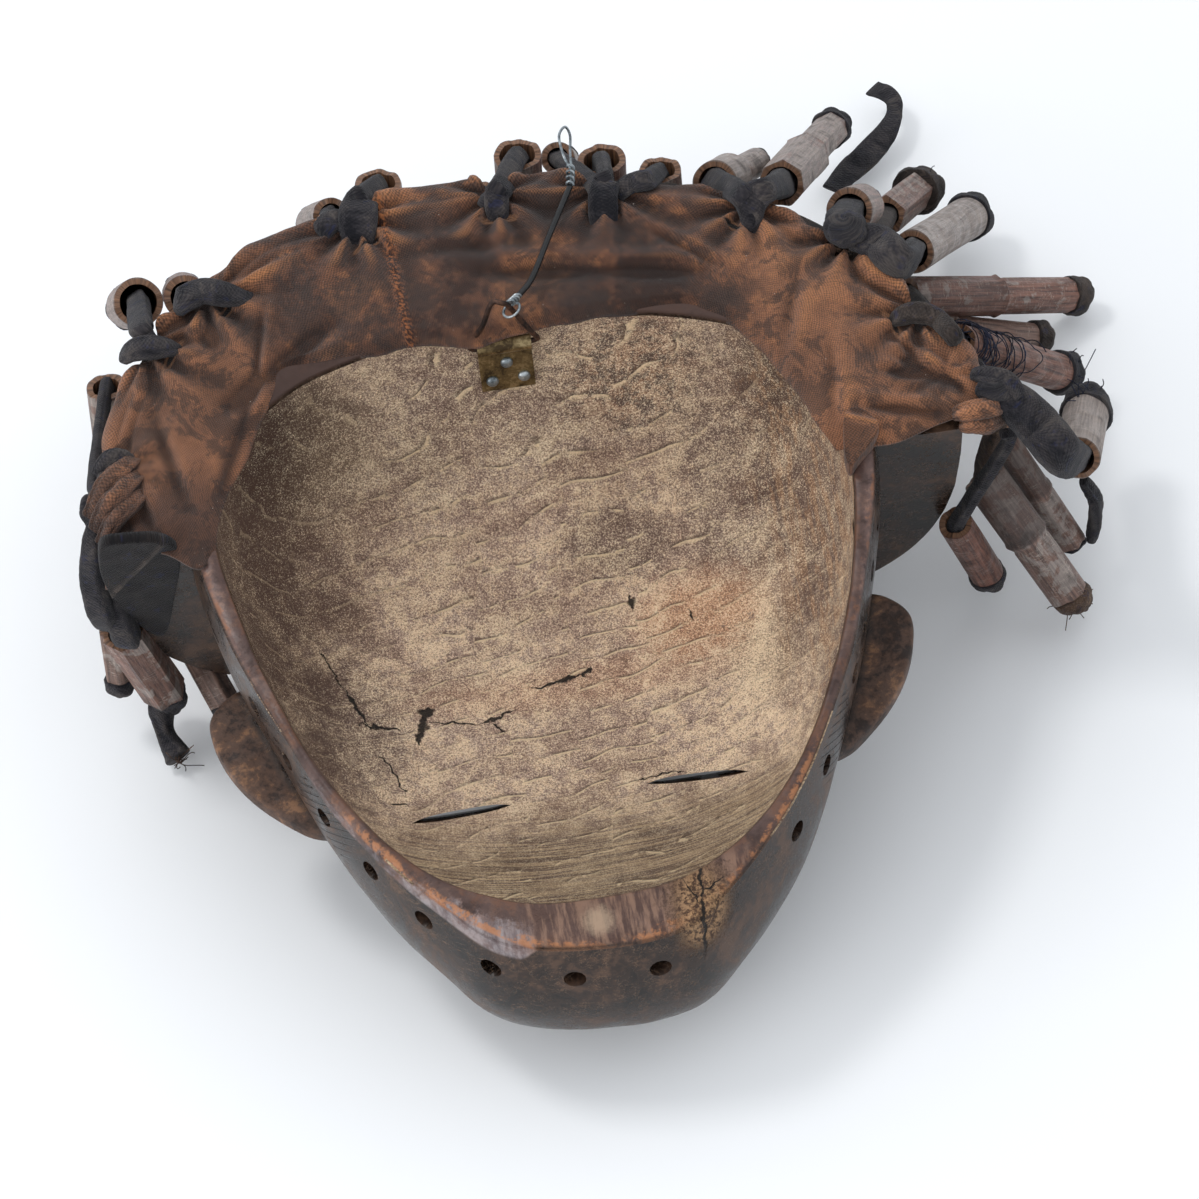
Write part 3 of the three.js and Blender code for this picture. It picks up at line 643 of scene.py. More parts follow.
def makeCrack():
    # Distance to a line between two points, tapered to both ends; the vector comes flat and bent
    inputs = [(name, vectorSocket) for name in ("Vector", "Start", "End")]
    tree, graph, ins, outs = newGroup("crack", [*inputs, ("Width", valueSocket)], [("Mask", valueSocket)])
    line = graph.vector("SUBTRACT", ins["End"], ins["Start"])
    away = graph.vector("SUBTRACT", ins["Vector"], ins["Start"])
    reach, whole = graph.vector("DOT_PRODUCT", away, line), graph.vector("DOT_PRODUCT", line, line)
    share = graph.math("DIVIDE", reach, whole, clamp=True)
    foot = graph.node("ShaderNodeVectorMath", {0: line, "Scale": share}, operation="SCALE").outputs[0]
    distance = graph.vector("LENGTH", graph.vector("SUBTRACT", away, foot))
    taper = graph.math("SINE", graph.times(share, math.pi))
    width = graph.times(ins["Width"], graph.plus(graph.times(taper, 0.75), 0.25))
    graph.feed(outs["Mask"], graph.step(distance, width, graph.times(width, 0.4)))
    return tree


def makeStreaks():
    # Thin light lines: the crests of a noise drawn out along one direction, broken by a second noise
    inputs = [(name, vectorSocket) for name in ("Vector", "Turn", "Stretch")]
    tree, graph, ins, outs = newGroup("streaks", [*inputs, ("Breaks", valueSocket)], [("Mask", valueSocket)])
    turning = {"Vector": ins["Vector"], "Rotation": ins["Turn"]}
    turned = graph.node("ShaderNodeVectorRotate", turning, rotation_type="EULER_XYZ").outputs[0]
    drawn = graph.noise(graph.vector("MULTIPLY", turned, ins["Stretch"]), 1, 4, 0.55, 0.25)
    crest = graph.math("ABSOLUTE", graph.minus(drawn, 0.5))
    broken = graph.step(graph.noise(ins["Vector"], ins["Breaks"], 4, 0.7), 0.46, 0.6)
    graph.feed(outs["Mask"], graph.times(graph.step(crest, 0.016, 0.002), broken))
    return tree


def makeWeave():
    # Plain weave: crossing threads, sin(x) sin(y), plus a fine fuzz; coordinates are millimetres of cloth
    inputs = [("Vector", vectorSocket), ("Thread", valueSocket)]
    tree, graph, ins, outs = newGroup("weave", inputs, [("Threads", valueSocket)])
    noise = graph.node("ShaderNodeTexNoise", {"Vector": ins["Vector"], "Scale": 0.25, "Detail": 3})
    shift = graph.vector("MULTIPLY", noise.outputs["Color"], (1.6, 1.6, 0))
    parts = graph.parts(graph.vector("ADD", ins["Vector"], shift))
    turns = graph.math("DIVIDE", math.pi, ins["Thread"])
    waves = [graph.math("SINE", graph.times(parts[axis], turns)) for axis in ("X", "Y")]
    crossing = graph.times(*waves)
    fuzz = graph.noise(ins["Vector"], 2.4, 3, 0.8)
    graph.feed(outs["Threads"], graph.plus(graph.times(crossing, 0.2), fuzz))
    return tree


stains, crack, streaks, weave = makeStains(), makeCrack(), makeStreaks(), makeWeave()


def stained(graph, at, scale, dark, middle, light):
    inputs = {"Vector": at, "Scale": scale, "Dark": dark, "Middle": middle, "Light": light}
    return graph.group(stains, inputs)


def streaked(graph, at, turn, stretch, breaks):
    inputs = {"Vector": at, "Turn": turn, "Stretch": stretch, "Breaks": breaks}
    return graph.group(streaks, inputs)["Mask"]


def outlineValue(graph, at, outline):
    # |u/half|^sidePower + (|v - centre|/height)^power, with the chin's height and power: 1 on the outline
    parts = graph.parts(at)
    across = graph.math("DIVIDE", graph.math("ABSOLUTE", parts["X"]), outline["half"])
    down = graph.math("ABSOLUTE", graph.minus(parts["Y"], outline["centre"]))
    down = graph.math("POWER", graph.math("DIVIDE", down, outline["low"]), outline["lowPower"])
    return graph.plus(graph.math("POWER", across, outline["sidePower"]), down)


# The hollow's dusty wood: screen colours, with wall the painted shade of the walls, and its spots as middle
# (u, v, w) and half sizes
dust = dict(
    dark=(82, 64, 55), light=(255, 236, 202), mauve=(196, 165, 148), tan=(232, 196, 162),
    brown=(170, 134, 112), wall=(74, 53, 44), smoke=(96, 78, 72), pallor=(236, 206, 166),
    smoked=(
        ((57, 150, -50), (15, 26, 40)), ((-58, 98, -50), (14, 22, 40)),
        ((24, 149, -60), (17, 9, 40)),
    ),
    pallid=(((-60, 174, -20), (18, 11, 30)), ((58, 106, -50), (9, 18, 40))),
    orange=((42, 124, -60), (17, 12, 40)), belt=((8, 108, -60), (42, 7, 40)),
    knot=((32, 180, -12), (18, 10, 30)), chinRings=(4, 134, 0),
)

# Cracks and cuts seen in the hollow and in the rim (u, v): start, end, width
hollowCracks = (
    ((-65.6, 126.4), (-60, 113.4), 0.4), ((-60, 113.4), (-54.6, 100.1), 0.7),
    ((-57, 101.5), (-46, 99.5), 0.7), ((-37.2, 101.9), (-24, 99.2), 0.5),
    ((-24, 99.2), (-13.8, 102.5), 0.6), ((-20, 99.4), (-17.5, 96), 0.5), ((-8.2, 108.6), (7.7, 110.5), 0.7),
    ((6.5, 110.2), (9.5, 113), 0.6), ((-53, 91), (-47, 78), 0.5), ((40, 126), (41, 122), 0.5),
    ((16, 73), (30, 72.5), 0.4), ((-47, 73), (-52, 74), 0.5), ((-42, 94.3), (-37.8, 106.5), 1.4),
    ((-37.8, 106.5), (-38.4, 104), 3.2), ((24, 133.4), (24.5, 130.5), 1.5),
)
rimCracks = (
    ((26.6, 23), (25.6, 10), 0.6), ((25.6, 10), (24, -4), 0.7), ((25.8, 12), (32, 15), 0.35),
    ((21, 17), (25.4, 8), 0.3),
)


def addCracks(graph, at, cracks, wander):
    # The strongest of all cracks, which read one vector, bent by a noise
    noise = graph.node("ShaderNodeTexNoise", {"Vector": at, "Scale": 0.35, "Detail": 3})
    centred = graph.vector("SUBTRACT", noise.outputs["Color"], (0.5, 0.5, 0.5))
    shift = graph.vector("MULTIPLY", centred, (wander, wander, 0))
    bent = graph.vector("MULTIPLY", graph.vector("ADD", at, shift), (1, 1, 0))
    total = 0
    for start, end, width in cracks:
        inputs = {"Vector": bent, "Start": (*start, 0), "End": (*end, 0), "Width": width}
        total = graph.larger(total, graph.group(crack, inputs)["Mask"])
    return total


def spot(graph, at, ragged, middle, half, soft=0.5):
    # 1 inside an ellipse about a point of the carving, fading out through a ragged edge
    away = graph.vector("LENGTH", graph.vector("DIVIDE", graph.vector("SUBTRACT", at, middle), half))
    away = graph.plus(away, graph.times(graph.minus(ragged, 0.5), 1.6))
    return graph.step(away, 1 + soft, 1 - soft)


def spots(graph, at, ragged, places):
    # The strongest of several spots, each given by its middle and its half sizes
    total = spot(graph, at, ragged, *places[0])
    for middle, half in places[1:]:
        total = graph.larger(total, spot(graph, at, ragged, middle, half))
    return total


def adzeCuts(graph, at, mottle):
    # Columns of short sloping steps, each ending in a ridge with a painted highlight and a painted shadow
    # line below it; sideways fades them towards the walls
    parts = graph.parts(at)
    sway = graph.noise(at, 0.03, 2, 0.5)
    column = graph.weigh((parts["X"], 0.045), (sway, 1.6))
    columnNumber = graph.math("FLOOR", column)
    shift = graph.node("ShaderNodeTexWhiteNoise", {"W": columnNumber}, noise_dimensions="1D").outputs[0]
    row = graph.weigh((parts["Y"], 0.13), (parts["X"], -0.022), (sway, 2.2), (mottle, 0.12), (shift, 1))
    cutAt = graph.joined(X=columnNumber, Y=graph.math("FLOOR", row))
    cut = graph.node("ShaderNodeTexWhiteNoise", {"Vector": cutAt}, noise_dimensions="2D").outputs["Value"]
    share = graph.math("FRACT", row)
    broken = graph.step(graph.noise(at, 0.1, 4, 0.8), 0.45, 0.55)
    level = graph.step(share, 0.88, 0.96)
    upright = graph.step(graph.math("FRACT", column), 0.975, 0.995)
    sideways = graph.step(graph.math("ABSOLUTE", graph.minus(parts["X"], 4)), 34, 58, 1, 0.3)
    litRidges = graph.times(graph.times(graph.larger(level, graph.times(upright, 0.4)), broken), sideways)
    ridgeShadow = graph.times(graph.step(share, 0.14, 0.03), graph.times(broken, sideways))
    return cut, graph.times(share, graph.plus(cut, 0.3)), litRidges, ridgeShadow


def hollowGround(graph, at, mottle, broad, cut):
    # Mauve, tan and brown ground with smoked and pallid spots
    share = graph.step(graph.weigh((mottle, 1), (broad, 0.5)), 0.64, 0.86)
    ground = graph.mix(share, dust["mauve"], dust["tan"])
    ground = graph.over(ground, graph.step(broad, 0.56, 0.4), 0.4, dust["brown"])
    ground = graph.over(ground, graph.step(cut, 0.5, 1), 0.35, dust["brown"])
    ground = graph.over(ground, spots(graph, at, mottle, dust["smoked"]), 0.5, dust["smoke"])
    return graph.mix(graph.times(spots(graph, at, mottle, dust["pallid"]), 0.5), ground, dust["pallor"])


def chinRings(graph, at, mottle):
    # Chisel marks that run round the hollow: a noise along the distance from a point of the carving
    away = graph.vector("MULTIPLY", graph.vector("SUBTRACT", at, dust["chinRings"]), (0.55, 1, 0))
    radius = graph.weigh((graph.vector("LENGTH", away), 1.7), (mottle, 1.2))
    return graph.noise(graph.joined(X=radius, Y=graph.times(graph.parts(at)["X"], 0.03)), 1, 4, 0.7)


def makeHollow():
    # Adzed and dusty: painted shade on the side and top walls and at the deep chin end, an orange patch, a
    # splintered knot, chiselled chin, speckle, cracks, and painted highlight and shadow lines at the adze
    # ridges
    material, graph, shader = newMaterial("hollow wood", 0.88)
    at = graph.own("carve", "Vector")
    parts = graph.parts(at)
    broad = graph.noise(at, 0.042, 4, 0.6, 0.6)
    mottle = graph.noise(at, 0.24, 5, 0.75)
    fine = graph.noise(at, 2.1, 4, 0.85)
    cut, slopes, litRidges, ridgeShadow = adzeCuts(graph, at, mottle)
    ground = hollowGround(graph, at, mottle, broad, cut)
    # Painted shade: the left, right and top walls darken towards the wall colour, the top where the band
    # overhangs the hollow
    left = graph.step(graph.weigh((parts["X"], 1), (broad, 30)), -24, -66)
    right = graph.step(graph.weigh((parts["X"], 1), (broad, -24)), 44, 64)
    top = graph.step(graph.weigh((parts["Y"], 1), (broad, 40)), 172, 200)
    color = graph.mix(graph.weigh((left, 0.8), (right, 0.58), (top, 0.42)), ground, dust["wall"])
    paleStreak = graph.noise(graph.stretch(at, (0.5, 0.035, 0.2)), 1, 4, 0.7)
    pale = graph.times(right, graph.step(paleStreak, 0.48, 0.58))
    color = graph.over(color, pale, 0.6, (196, 148, 108))
    orange = spot(graph, at, mottle, *dust["orange"])
    belt = spot(graph, at, mottle, *dust["belt"])
    color = graph.mix(graph.weigh((orange, 0.75), (belt, 0.35)), color, (226, 166, 124))
    rough = graph.mix(graph.step(mottle, 0.42, 0.58), (58, 42, 37), (170, 116, 82))
    color = graph.over(color, spot(graph, at, mottle, *dust["knot"]), 0.6, rough)
    blue = graph.step(graph.minus(mottle, graph.times(orange, 0.08)), 0.30, 0.25)
    color = graph.over(color, blue, 0.4, (140, 138, 140))
    chisel = chinRings(graph, at, mottle)
    chin = graph.step(graph.weigh((parts["Y"], 1), (broad, 24)), 94, 60)
    chiselled = graph.mix(graph.step(chisel, 0.42, 0.58), (84, 67, 55), (188, 161, 124))
    color = graph.over(color, chin, 0.8, chiselled)
    # Painted shade at the deep chin end of the hollow
    deep = graph.step(graph.weigh((parts["Y"], 1), (mottle, 14)), 48, 28)
    color = graph.over(color, deep, 0.7, dust["wall"])
    dusty = graph.weigh((fine, 1), (mottle, 0.22), (left, -0.05), (right, -0.03), (broad, 0.12))
    plain = graph.minus(1, graph.times(chin, 0.6))
    light, dark = graph.step(dusty, 0.685, 0.745), graph.step(dusty, 0.665, 0.595)
    color = graph.mix(graph.times(plain, graph.times(light, 0.8)), color, dust["light"])
    color = graph.mix(graph.times(plain, graph.times(dark, 0.72)), color, dust["dark"])
    # Painted shadow lines below the adze ridges, then painted highlights along them
    color = graph.over(color, ridgeShadow, 0.6, (74, 57, 48))
    color = graph.over(color, litRidges, 0.75, (242, 216, 176))
    cracks = addCracks(graph, at, hollowCracks, 4)
    color = graph.over(color, cracks, 0.95, (16, 12, 10))
    graph.feed(shader.inputs["Base Color"], color)
    chips = graph.times(chisel, chin)
    height = graph.weigh(
        (fine, 0.28), (mottle, 0.8), (slopes, 1.1), (litRidges, 0.12), (chips, 0.8), (cracks, -1.5),
    )
    graph.feed(shader.inputs["Normal"], graph.bump(height, 1, 0.0014))
    return material


def outerLook(graph, at):
    # Smoked and handled: dark brown, redder where worn, with fine scratches
    smoke = stained(graph, at, 0.05, (22, 17, 14), (45, 34, 28), (76, 57, 45))
    scratch = streaked(graph, at, (0.3, 0.2, 0.7), (0.03, 0.7, 0.5), 0.12)
    cross = streaked(graph, at, (0.2, 0.5, -0.5), (0.04, 0.9, 0.6), 0.15)
    lines = graph.larger(scratch, cross)
    color = graph.mix(graph.times(lines, 0.35), smoke["Color"], (150, 116, 88))
    return color, smoke["Cloud"], lines


def rimLook(graph, at):
    # A polished violet-brown facet, worn to orange at its edges, with other tones on chin and left arm, a
    # painted sheen on the left arm and painted shade under the band
    polish = stained(graph, at, 0.07, (52, 38, 36), (96, 76, 71), (126, 98, 86))
    inner = outlineValue(graph, at, wood["hollow"])
    outer = outlineValue(graph, at, wood["face"])
    wobble = graph.times(graph.minus(graph.noise(at, 0.22, 5, 0.75), 0.5), 0.22)
    nearInner = graph.step(graph.plus(inner, wobble), 1.055, 1.01)
    nearOuter = graph.step(graph.plus(outer, wobble), 0.965, 0.99)
    worn = graph.larger(nearInner, nearOuter)
    patchy = graph.step(graph.noise(at, 0.09, 4, 0.7), 0.44, 0.58)
    color = graph.mix(graph.times(graph.times(worn, patchy), 0.6), polish["Color"], (142, 94, 64))
    parts = graph.parts(at)
    streaky = graph.noise(graph.stretch(at, (0.35, 0.06, 0.2), (0, 0, 0.25)), 1, 5, 0.7)
    bevel = graph.step(graph.plus(inner, wobble), 1.12, 1.06)
    color = graph.over(color, bevel, 0.6, (62, 44, 38))
    chinFacet = graph.times(graph.step(parts["Y"], 26, 18), graph.step(parts["X"], -24, -18))
    chinColor = graph.mix(graph.step(streaky, 0.42, 0.6), (74, 52, 44), (132, 102, 84))
    color = graph.over(color, chinFacet, 0.75, chinColor)
    # The left arm's violet-grey: the facet's own polish, with a painted sheen in its light grey
    arm = graph.times(graph.step(parts["Y"], 66, 46), graph.step(parts["X"], -18, -23))
    arm = graph.times(arm, graph.minus(1, bevel))
    armToneAndSheen = graph.mix(graph.step(streaky, 0.38, 0.62), (98, 87, 88), (144, 136, 137))
    color = graph.over(color, arm, 0.8, armToneAndSheen)
    ragged = graph.noise(at, 0.45, 5, 0.85)
    blot = spot(graph, at, ragged, (-2, 8.5, 0), (3.6, 3.6, 4), 0.5)
    color = graph.over(color, blot, 0.5, (178, 154, 128))
    inside = graph.step(graph.weigh((outer, 1), (ragged, 0.06)), 1, 1.016)
    edgeWear = graph.times(inside, graph.step(outer, 1.01, 1.002))
    frontEdge = graph.times(edgeWear, graph.step(parts["Y"], 60, 40))
    frontEdge = graph.times(frontEdge, graph.step(graph.noise(at, 0.16, 4, 0.8), 0.44, 0.56))
    color = graph.over(color, frontEdge, 0.75, (168, 112, 74))
    # Painted shade on the rim where the band overhangs it
    shadeUnderBand = graph.step(parts["Y"], 132, 150)
    return graph.mix(graph.times(shadeUnderBand, 0.85), color, (62, 44, 37))


def makeWood():
    # Smoked outside and polished rim, with painted shade in the bored holes, hatched grooves beside the chin
    # and scuffed ears
    material, graph, shader = newMaterial("smoked wood")
    at = graph.own("carve", "Vector")
    parts = graph.parts(at)
    outerColor, cloud, scratches = outerLook(graph, at)
    rimColor = rimLook(graph, at)
    armSide = graph.times(graph.step(parts["Y"], 70, 50), graph.step(parts["X"], -18, -24))
    rim = graph.step(graph.weigh((parts["Z"], 1), (armSide, 3.4)), -1.6, -0.5)
    color = graph.mix(rim, outerColor, rimColor)
    splits = graph.times(addCracks(graph, at, rimCracks, 3), graph.step(parts["Z"], -14, -8))
    crumbs = graph.noise(at, 0.8, 3, 0.8)
    crumbly = spot(graph, at, crumbs, (25, 8.5, -3), (8, 14, 8), 0.35)
    crumbColor = graph.mix(graph.step(crumbs, 0.40, 0.62), (72, 52, 39), (168, 132, 96))
    color = graph.over(color, crumbly, 0.85, crumbColor)
    color = graph.over(color, splits, 0.95, (16, 11, 9))
    outline = outlineValue(graph, at, wood["face"])
    # Painted shade: the walls of the bored holes are darkened almost to black
    boreShade = graph.times(graph.step(outline, 0.99, 0.975), graph.step(parts["Z"], -5, -6))
    boreShade = graph.times(boreShade, graph.step(parts["Z"], -16, -15))
    color = graph.mix(boreShade, color, (20, 14, 11))
    hatched = graph.times(graph.step(parts["Y"], 43, 46), graph.step(parts["Y"], 67, 64))
    heightBelt = graph.times(graph.step(parts["Z"], -4, -5), graph.step(parts["Z"], -19, -18))
    hatched = graph.times(hatched, heightBelt)
    slant = graph.math("ABSOLUTE", graph.math("SINE", graph.weigh((parts["Y"], 1.1), (parts["Z"], 0.9))))
    grooves = graph.times(graph.step(slant, 0.45, 0.15), hatched)
    color = graph.over(color, grooves, 0.7, (16, 12, 10))
    beyond = graph.step(outline, 1.02, 1.08)
    lowSide = graph.times(graph.step(parts["Y"], 112, 108), graph.step(parts["Z"], -18, -22))
    ear = graph.times(graph.times(beyond, lowSide), graph.step(parts["Y"], 50, 58))
    scuffs = stained(graph, at, 0.08, (44, 32, 27), (84, 63, 52), (132, 96, 70))
    color = graph.over(color, ear, 0.8, scuffs["Color"])
    graph.feed(shader.inputs["Base Color"], color)
    gloss = graph.step(cloud, 0.40, 0.62, 0.22, 0.42)
    rough = graph.weigh((gloss, 1), (crumbly, 0.35), (rim, 0.14), (ear, 0.34))
    graph.feed(shader.inputs["Roughness"], rough)
    shader.inputs["Specular IOR Level"].default_value = 0.36
    height = graph.weigh(
        (cloud, 0.5), (scratches, -0.12), (graph.times(crumbs, crumbly), 4), (splits, -3.5),
        (grooves, -1.2),
    )
    graph.feed(shader.inputs["Normal"], graph.bump(height, 0.8, 0.0006))
    return material


def makeBandCloth():
    # Rust-brown homespun: dark blots, painted shade in the folds and slits, orange ridges that are worn and
    # also painted as highlights, frayed slit edges and white flecks
    material, graph, shader = newMaterial("band cloth", 0.92)
    at, cloth = graph.own("carve", "Vector"), graph.own("cloth", "Vector")
    relief, slit, seam = graph.own("relief"), graph.own("slit"), graph.own("seam")
    rust = stained(graph, at, 0.04, (66, 49, 43), (110, 79, 64), (156, 110, 80))
    blots = graph.step(graph.noise(at, 0.03, 5, 0.7, 0.8), 0.47, 0.6)
    place = graph.parts(at)
    sides = graph.step(graph.math("ABSOLUTE", place["X"]), 50, 86, 0.72, 0.3)
    color = graph.mix(graph.step(sides, 0.7, 0.3, 0, 0.5), rust["Color"], (184, 132, 100))
    color = graph.mix(graph.times(blots, sides), color, (66, 57, 55))
    lowLeft = graph.times(graph.step(place["Y"], 164, 142), graph.step(place["X"], -62, -84))
    color = graph.over(color, lowLeft, 0.6, (66, 57, 58))
    smudges = graph.step(graph.noise(at, 0.085, 5, 0.75, 0.6), 0.49, 0.57)
    color = graph.over(color, smudges, 0.66, (68, 58, 55))
    threads = graph.group(weave, {"Vector": cloth, "Thread": 0.5})["Threads"]
    # Ridges: worn to orange, and lighter by a painted highlight on the high relief
    ridge = graph.step(graph.plus(relief, graph.times(threads, 0.9)), 1, 2.6)
    color = graph.over(color, ridge, 0.55, (194, 138, 96))
    # Painted shade in the folds, where the relief is low
    fold = graph.step(relief, 0.3, -1.6)
    color = graph.over(color, fold, 0.75, (40, 28, 24))
    woven = graph.mix(graph.step(threads, 0.3, 0.7), (66, 58, 54), (196, 180, 166))
    color = graph.mix(0.65, color, graph.mix(1, color, woven, "OVERLAY"))
    slitEdge = graph.times(graph.step(slit, 0.08, 0.3), graph.step(slit, 0.8, 0.4))
    color = graph.mix(graph.times(slitEdge, threads), color, (150, 106, 76))
    # Painted shade inside the slits
    color = graph.mix(graph.step(slit, 0.45, 0.75), color, (22, 16, 14))
    stitches = graph.step(graph.noise(cloth, 0.9, 2, 0.5), 0.45, 0.6)
    sewn = graph.mix(stitches, (52, 32, 26), (158, 96, 58))
    color = graph.over(color, seam, 0.75, sewn)
    flecks = graph.step(graph.noise(at, 1.6, 1, 0.5), 0.80, 0.84)
    color = graph.over(color, flecks, 0.8, (208, 192, 180))
    graph.feed(shader.inputs["Base Color"], color)
    shader.inputs["Sheen Weight"].default_value = 0.15
    shader.inputs["Specular IOR Level"].default_value = 0.2
    graph.feed(shader.inputs["Normal"], graph.bump(threads, 0.8, 0.0006))
    return material


def makeRagCloth(name, dark, middle, light):
    # Worn dark rag: a weave, dusty high spots, painted shade in the folds and bluish frayed edges
    material, graph, shader = newMaterial(name, 0.95)
    cloth, relief = graph.own("cloth", "Vector"), graph.own("relief")
    worn = stained(graph, cloth, 0.12, dark, middle, light)
    threads = graph.group(weave, {"Vector": cloth, "Thread": 0.5})["Threads"]
    ridge = graph.step(graph.plus(relief, graph.times(threads, 0.6)), 0.2, 1.3)
    color = graph.mix(graph.times(ridge, 0.45), worn["Color"], (116, 106, 98))
    # Painted shade in the folds, where the relief is low
    fold = graph.step(relief, 0, -0.7)
    color = graph.over(color, fold, 0.75, (14, 13, 18))
    navy = graph.step(graph.noise(cloth, 0.3, 3, 0.7), 0.58, 0.68)
    color = graph.over(color, navy, 0.45, (36, 42, 74))
    woven = graph.mix(graph.step(threads, 0.25, 0.75), (90, 88, 90), (176, 174, 174))
    color = graph.mix(0.35, color, graph.mix(1, color, woven, "OVERLAY"))
    graph.feed(shader.inputs["Base Color"], color)
    shader.inputs["Sheen Weight"].default_value = 0.1
    shader.inputs["Specular IOR Level"].default_value = 0.2
    graph.feed(shader.inputs["Normal"], graph.bump(threads, 0.8, 0.0006))
    return material


def makeCane():
    # Cane under grey bark: tint holds how red and how grey, along holds round, down and a number of its own
    material, graph, shader = newMaterial("cane", 0.7)
    along, tint, inside = graph.own("along", "Vector"), graph.own("tint", "Vector"), graph.own("inside")
    look = graph.parts(tint)
    fibre = graph.noise(graph.vector("MULTIPLY", along, (0.9, 0.05, 1)), 1, 5, 0.75)
    blot = graph.noise(along, 0.14, 5, 0.68, 0.4)
    color = graph.mix(graph.step(fibre, 0.36, 0.64), (72, 57, 51), (122, 99, 88))
    redCane = graph.mix(graph.step(fibre, 0.36, 0.64), (68, 43, 37), (130, 84, 68))
    color = graph.over(color, look["X"], 0.8, redCane)
    bark = graph.plus(blot, graph.times(graph.minus(look["Y"], 0.5), 0.32))
    greyBark = graph.mix(graph.step(fibre, 0.3, 0.7), (112, 103, 98), (158, 148, 141))
    color = graph.over(color, graph.step(bark, 0.48, 0.58), 0.8, greyBark)
    marks = streaked(graph, along, (0, 0, 0.1), (0.1, 0.9, 1), 0.25)
    color = graph.over(color, marks, 0.5, (196, 182, 168))
    color = graph.mix(look["Z"], color, (56, 42, 38))
    soot = graph.step(graph.noise(along, 0.07, 4, 0.65), 0.55, 0.68)
    color = graph.over(color, soot, 0.6, (38, 30, 28))
    bore = graph.mix(graph.step(fibre, 0.36, 0.64), (72, 52, 40), (142, 104, 78))
    color = graph.mix(inside, color, bore)
    graph.feed(shader.inputs["Base Color"], color)
    graph.feed(shader.inputs["Roughness"], graph.step(blot, 0.4, 0.6, 0.42, 0.72))
    height = graph.plus(graph.times(fibre, 0.8), graph.times(blot, 1.2))
    graph.feed(shader.inputs["Normal"], graph.bump(height, 0.8, 0.0005))
    return material


def makeMetal(name, dark, middle, light, metallic, rough, scale=900):
    # Tarnished metal in Object coordinates (metres), duller where it is darker
    material, graph, shader = newMaterial(name, rough, metallic)
    at = graph.node("ShaderNodeTexCoord").outputs["Object"]
    tarnish = stained(graph, at, scale / 4, dark, middle, light)
    graph.feed(shader.inputs["Base Color"], tarnish["Color"])
    dulled = graph.step(tarnish["Cloud"], 0.4, 0.6, rough + 0.15, rough - 0.1)
    graph.feed(shader.inputs["Roughness"], dulled)
    graph.feed(shader.inputs["Normal"], graph.bump(graph.noise(at, scale, 3, 0.7), 0.4, 0.0002))
    return material


woodMaterial, hollowMaterial = makeWood(), makeHollow()
bandMaterial = makeBandCloth()
ragMaterial = makeRagCloth("charcoal rag", (25, 25, 31), (49, 47, 51), (76, 71, 69))
brownRagMaterial = makeRagCloth("brown rag", (46, 35, 28), (84, 66, 54), (124, 102, 84))
cornerMaterial = makeRagCloth("brown black cloth", (30, 26, 25), (54, 47, 44), (78, 68, 62))
caneMaterial = makeCane()
brassMaterial = makeMetal("tarnished brass", (66, 54, 38), (110, 94, 66), (150, 132, 98), 0.8, 0.42)
zincMaterial = makeMetal("galvanised zinc", (92, 98, 102), (132, 140, 144), (176, 182, 184), 0.8, 0.4)
rustMaterial = makeMetal("rusty iron", (28, 20, 17), (54, 38, 31), (88, 62, 48), 0.5, 0.6)
coatMaterial = makeMetal("wire coating", (6, 6, 7), (12, 13, 15), (22, 24, 28), 0, 0.32)
print("materials are made")

woodPiece = buildWood(woodMaterial, hollowMaterial)
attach(woodPiece, "root")
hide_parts("carved_mask")
print("carved wood:", len(woodPiece.data.polygons), "faces")


# Cloth band: over the coiffure's back and down its outside, pinched where each rag strip is tied
band = dict(
    ends=(-1.0, 181.0), centre=137, hem=15.0, thickness=1.1, roll=4.0, bendAt=0.76, hemAt=0.83,
    innerAt=(-6, 6, 21.5, 34, 43, 59, 72, 86, 100, 124, 143, 162, 181, 187),
    inner=(86, 79, 76.5, 75, 71.6, 59.4, 53.4, 50, 48.2, 60.4, 78.6, 79.6, 88, 90),
    outerAt=(-6, 3, 9, 15, 23.5, 34, 47, 64, 80, 96.5, 113, 131.6, 148.7, 162.5, 172, 186),
    outer=(126, 131, 131, 125, 121, 116, 112.5, 105, 103, 103, 107, 115.5, 121, 121.5, 121, 121),
)
# Where each strip is tied (u, v), as in the part
ties = dict(
    upper_left_strip=(-98, 198), crown_left_strip=(-80, 211), side_left_strip=(-112, 160),
    low_left_strip=(-116, 141), top_left_strip=(-36, 227), crown_strip=(3, 229), top_right_strip=(33, 226),
    bark_strip=(71, 214), corner_strip=(97, 200), long_strip=(111, 172), pale_strip=(115, 152),
)


def bandRadius(degrees, key):
    # Named radii joined by a smooth step between neighbours
    at, values = np.array(band[key + "At"], float), np.array(band[key], float)
    k = np.clip(np.searchsorted(at, degrees) - 1, 0, len(at) - 2)
    t = np.clip((degrees - at[k]) / (at[k + 1] - at[k]), 0, 1)
    straight = values[k] + (values[k + 1] - values[k]) * t
    return 0.5 * straight + 0.5 * (values[k] + (values[k + 1] - values[k]) * t * t * (3 - 2 * t))


def lineDistance(u, v, start, end):
    # Distance to a straight line's piece, and which side of it a point is on
    start, end = np.array(start, float), np.array(end, float)
    along = end - start
    length = np.hypot(*along)
    t = np.clip(((u - start[0]) * along[0] + (v - start[1]) * along[1]) / length ** 2, 0, 1)
    du, dv = u - start[0] - t * along[0], v - start[1] - t * along[1]
    return np.hypot(du, dv), (along[0] * dv - along[1] * du) / length, t


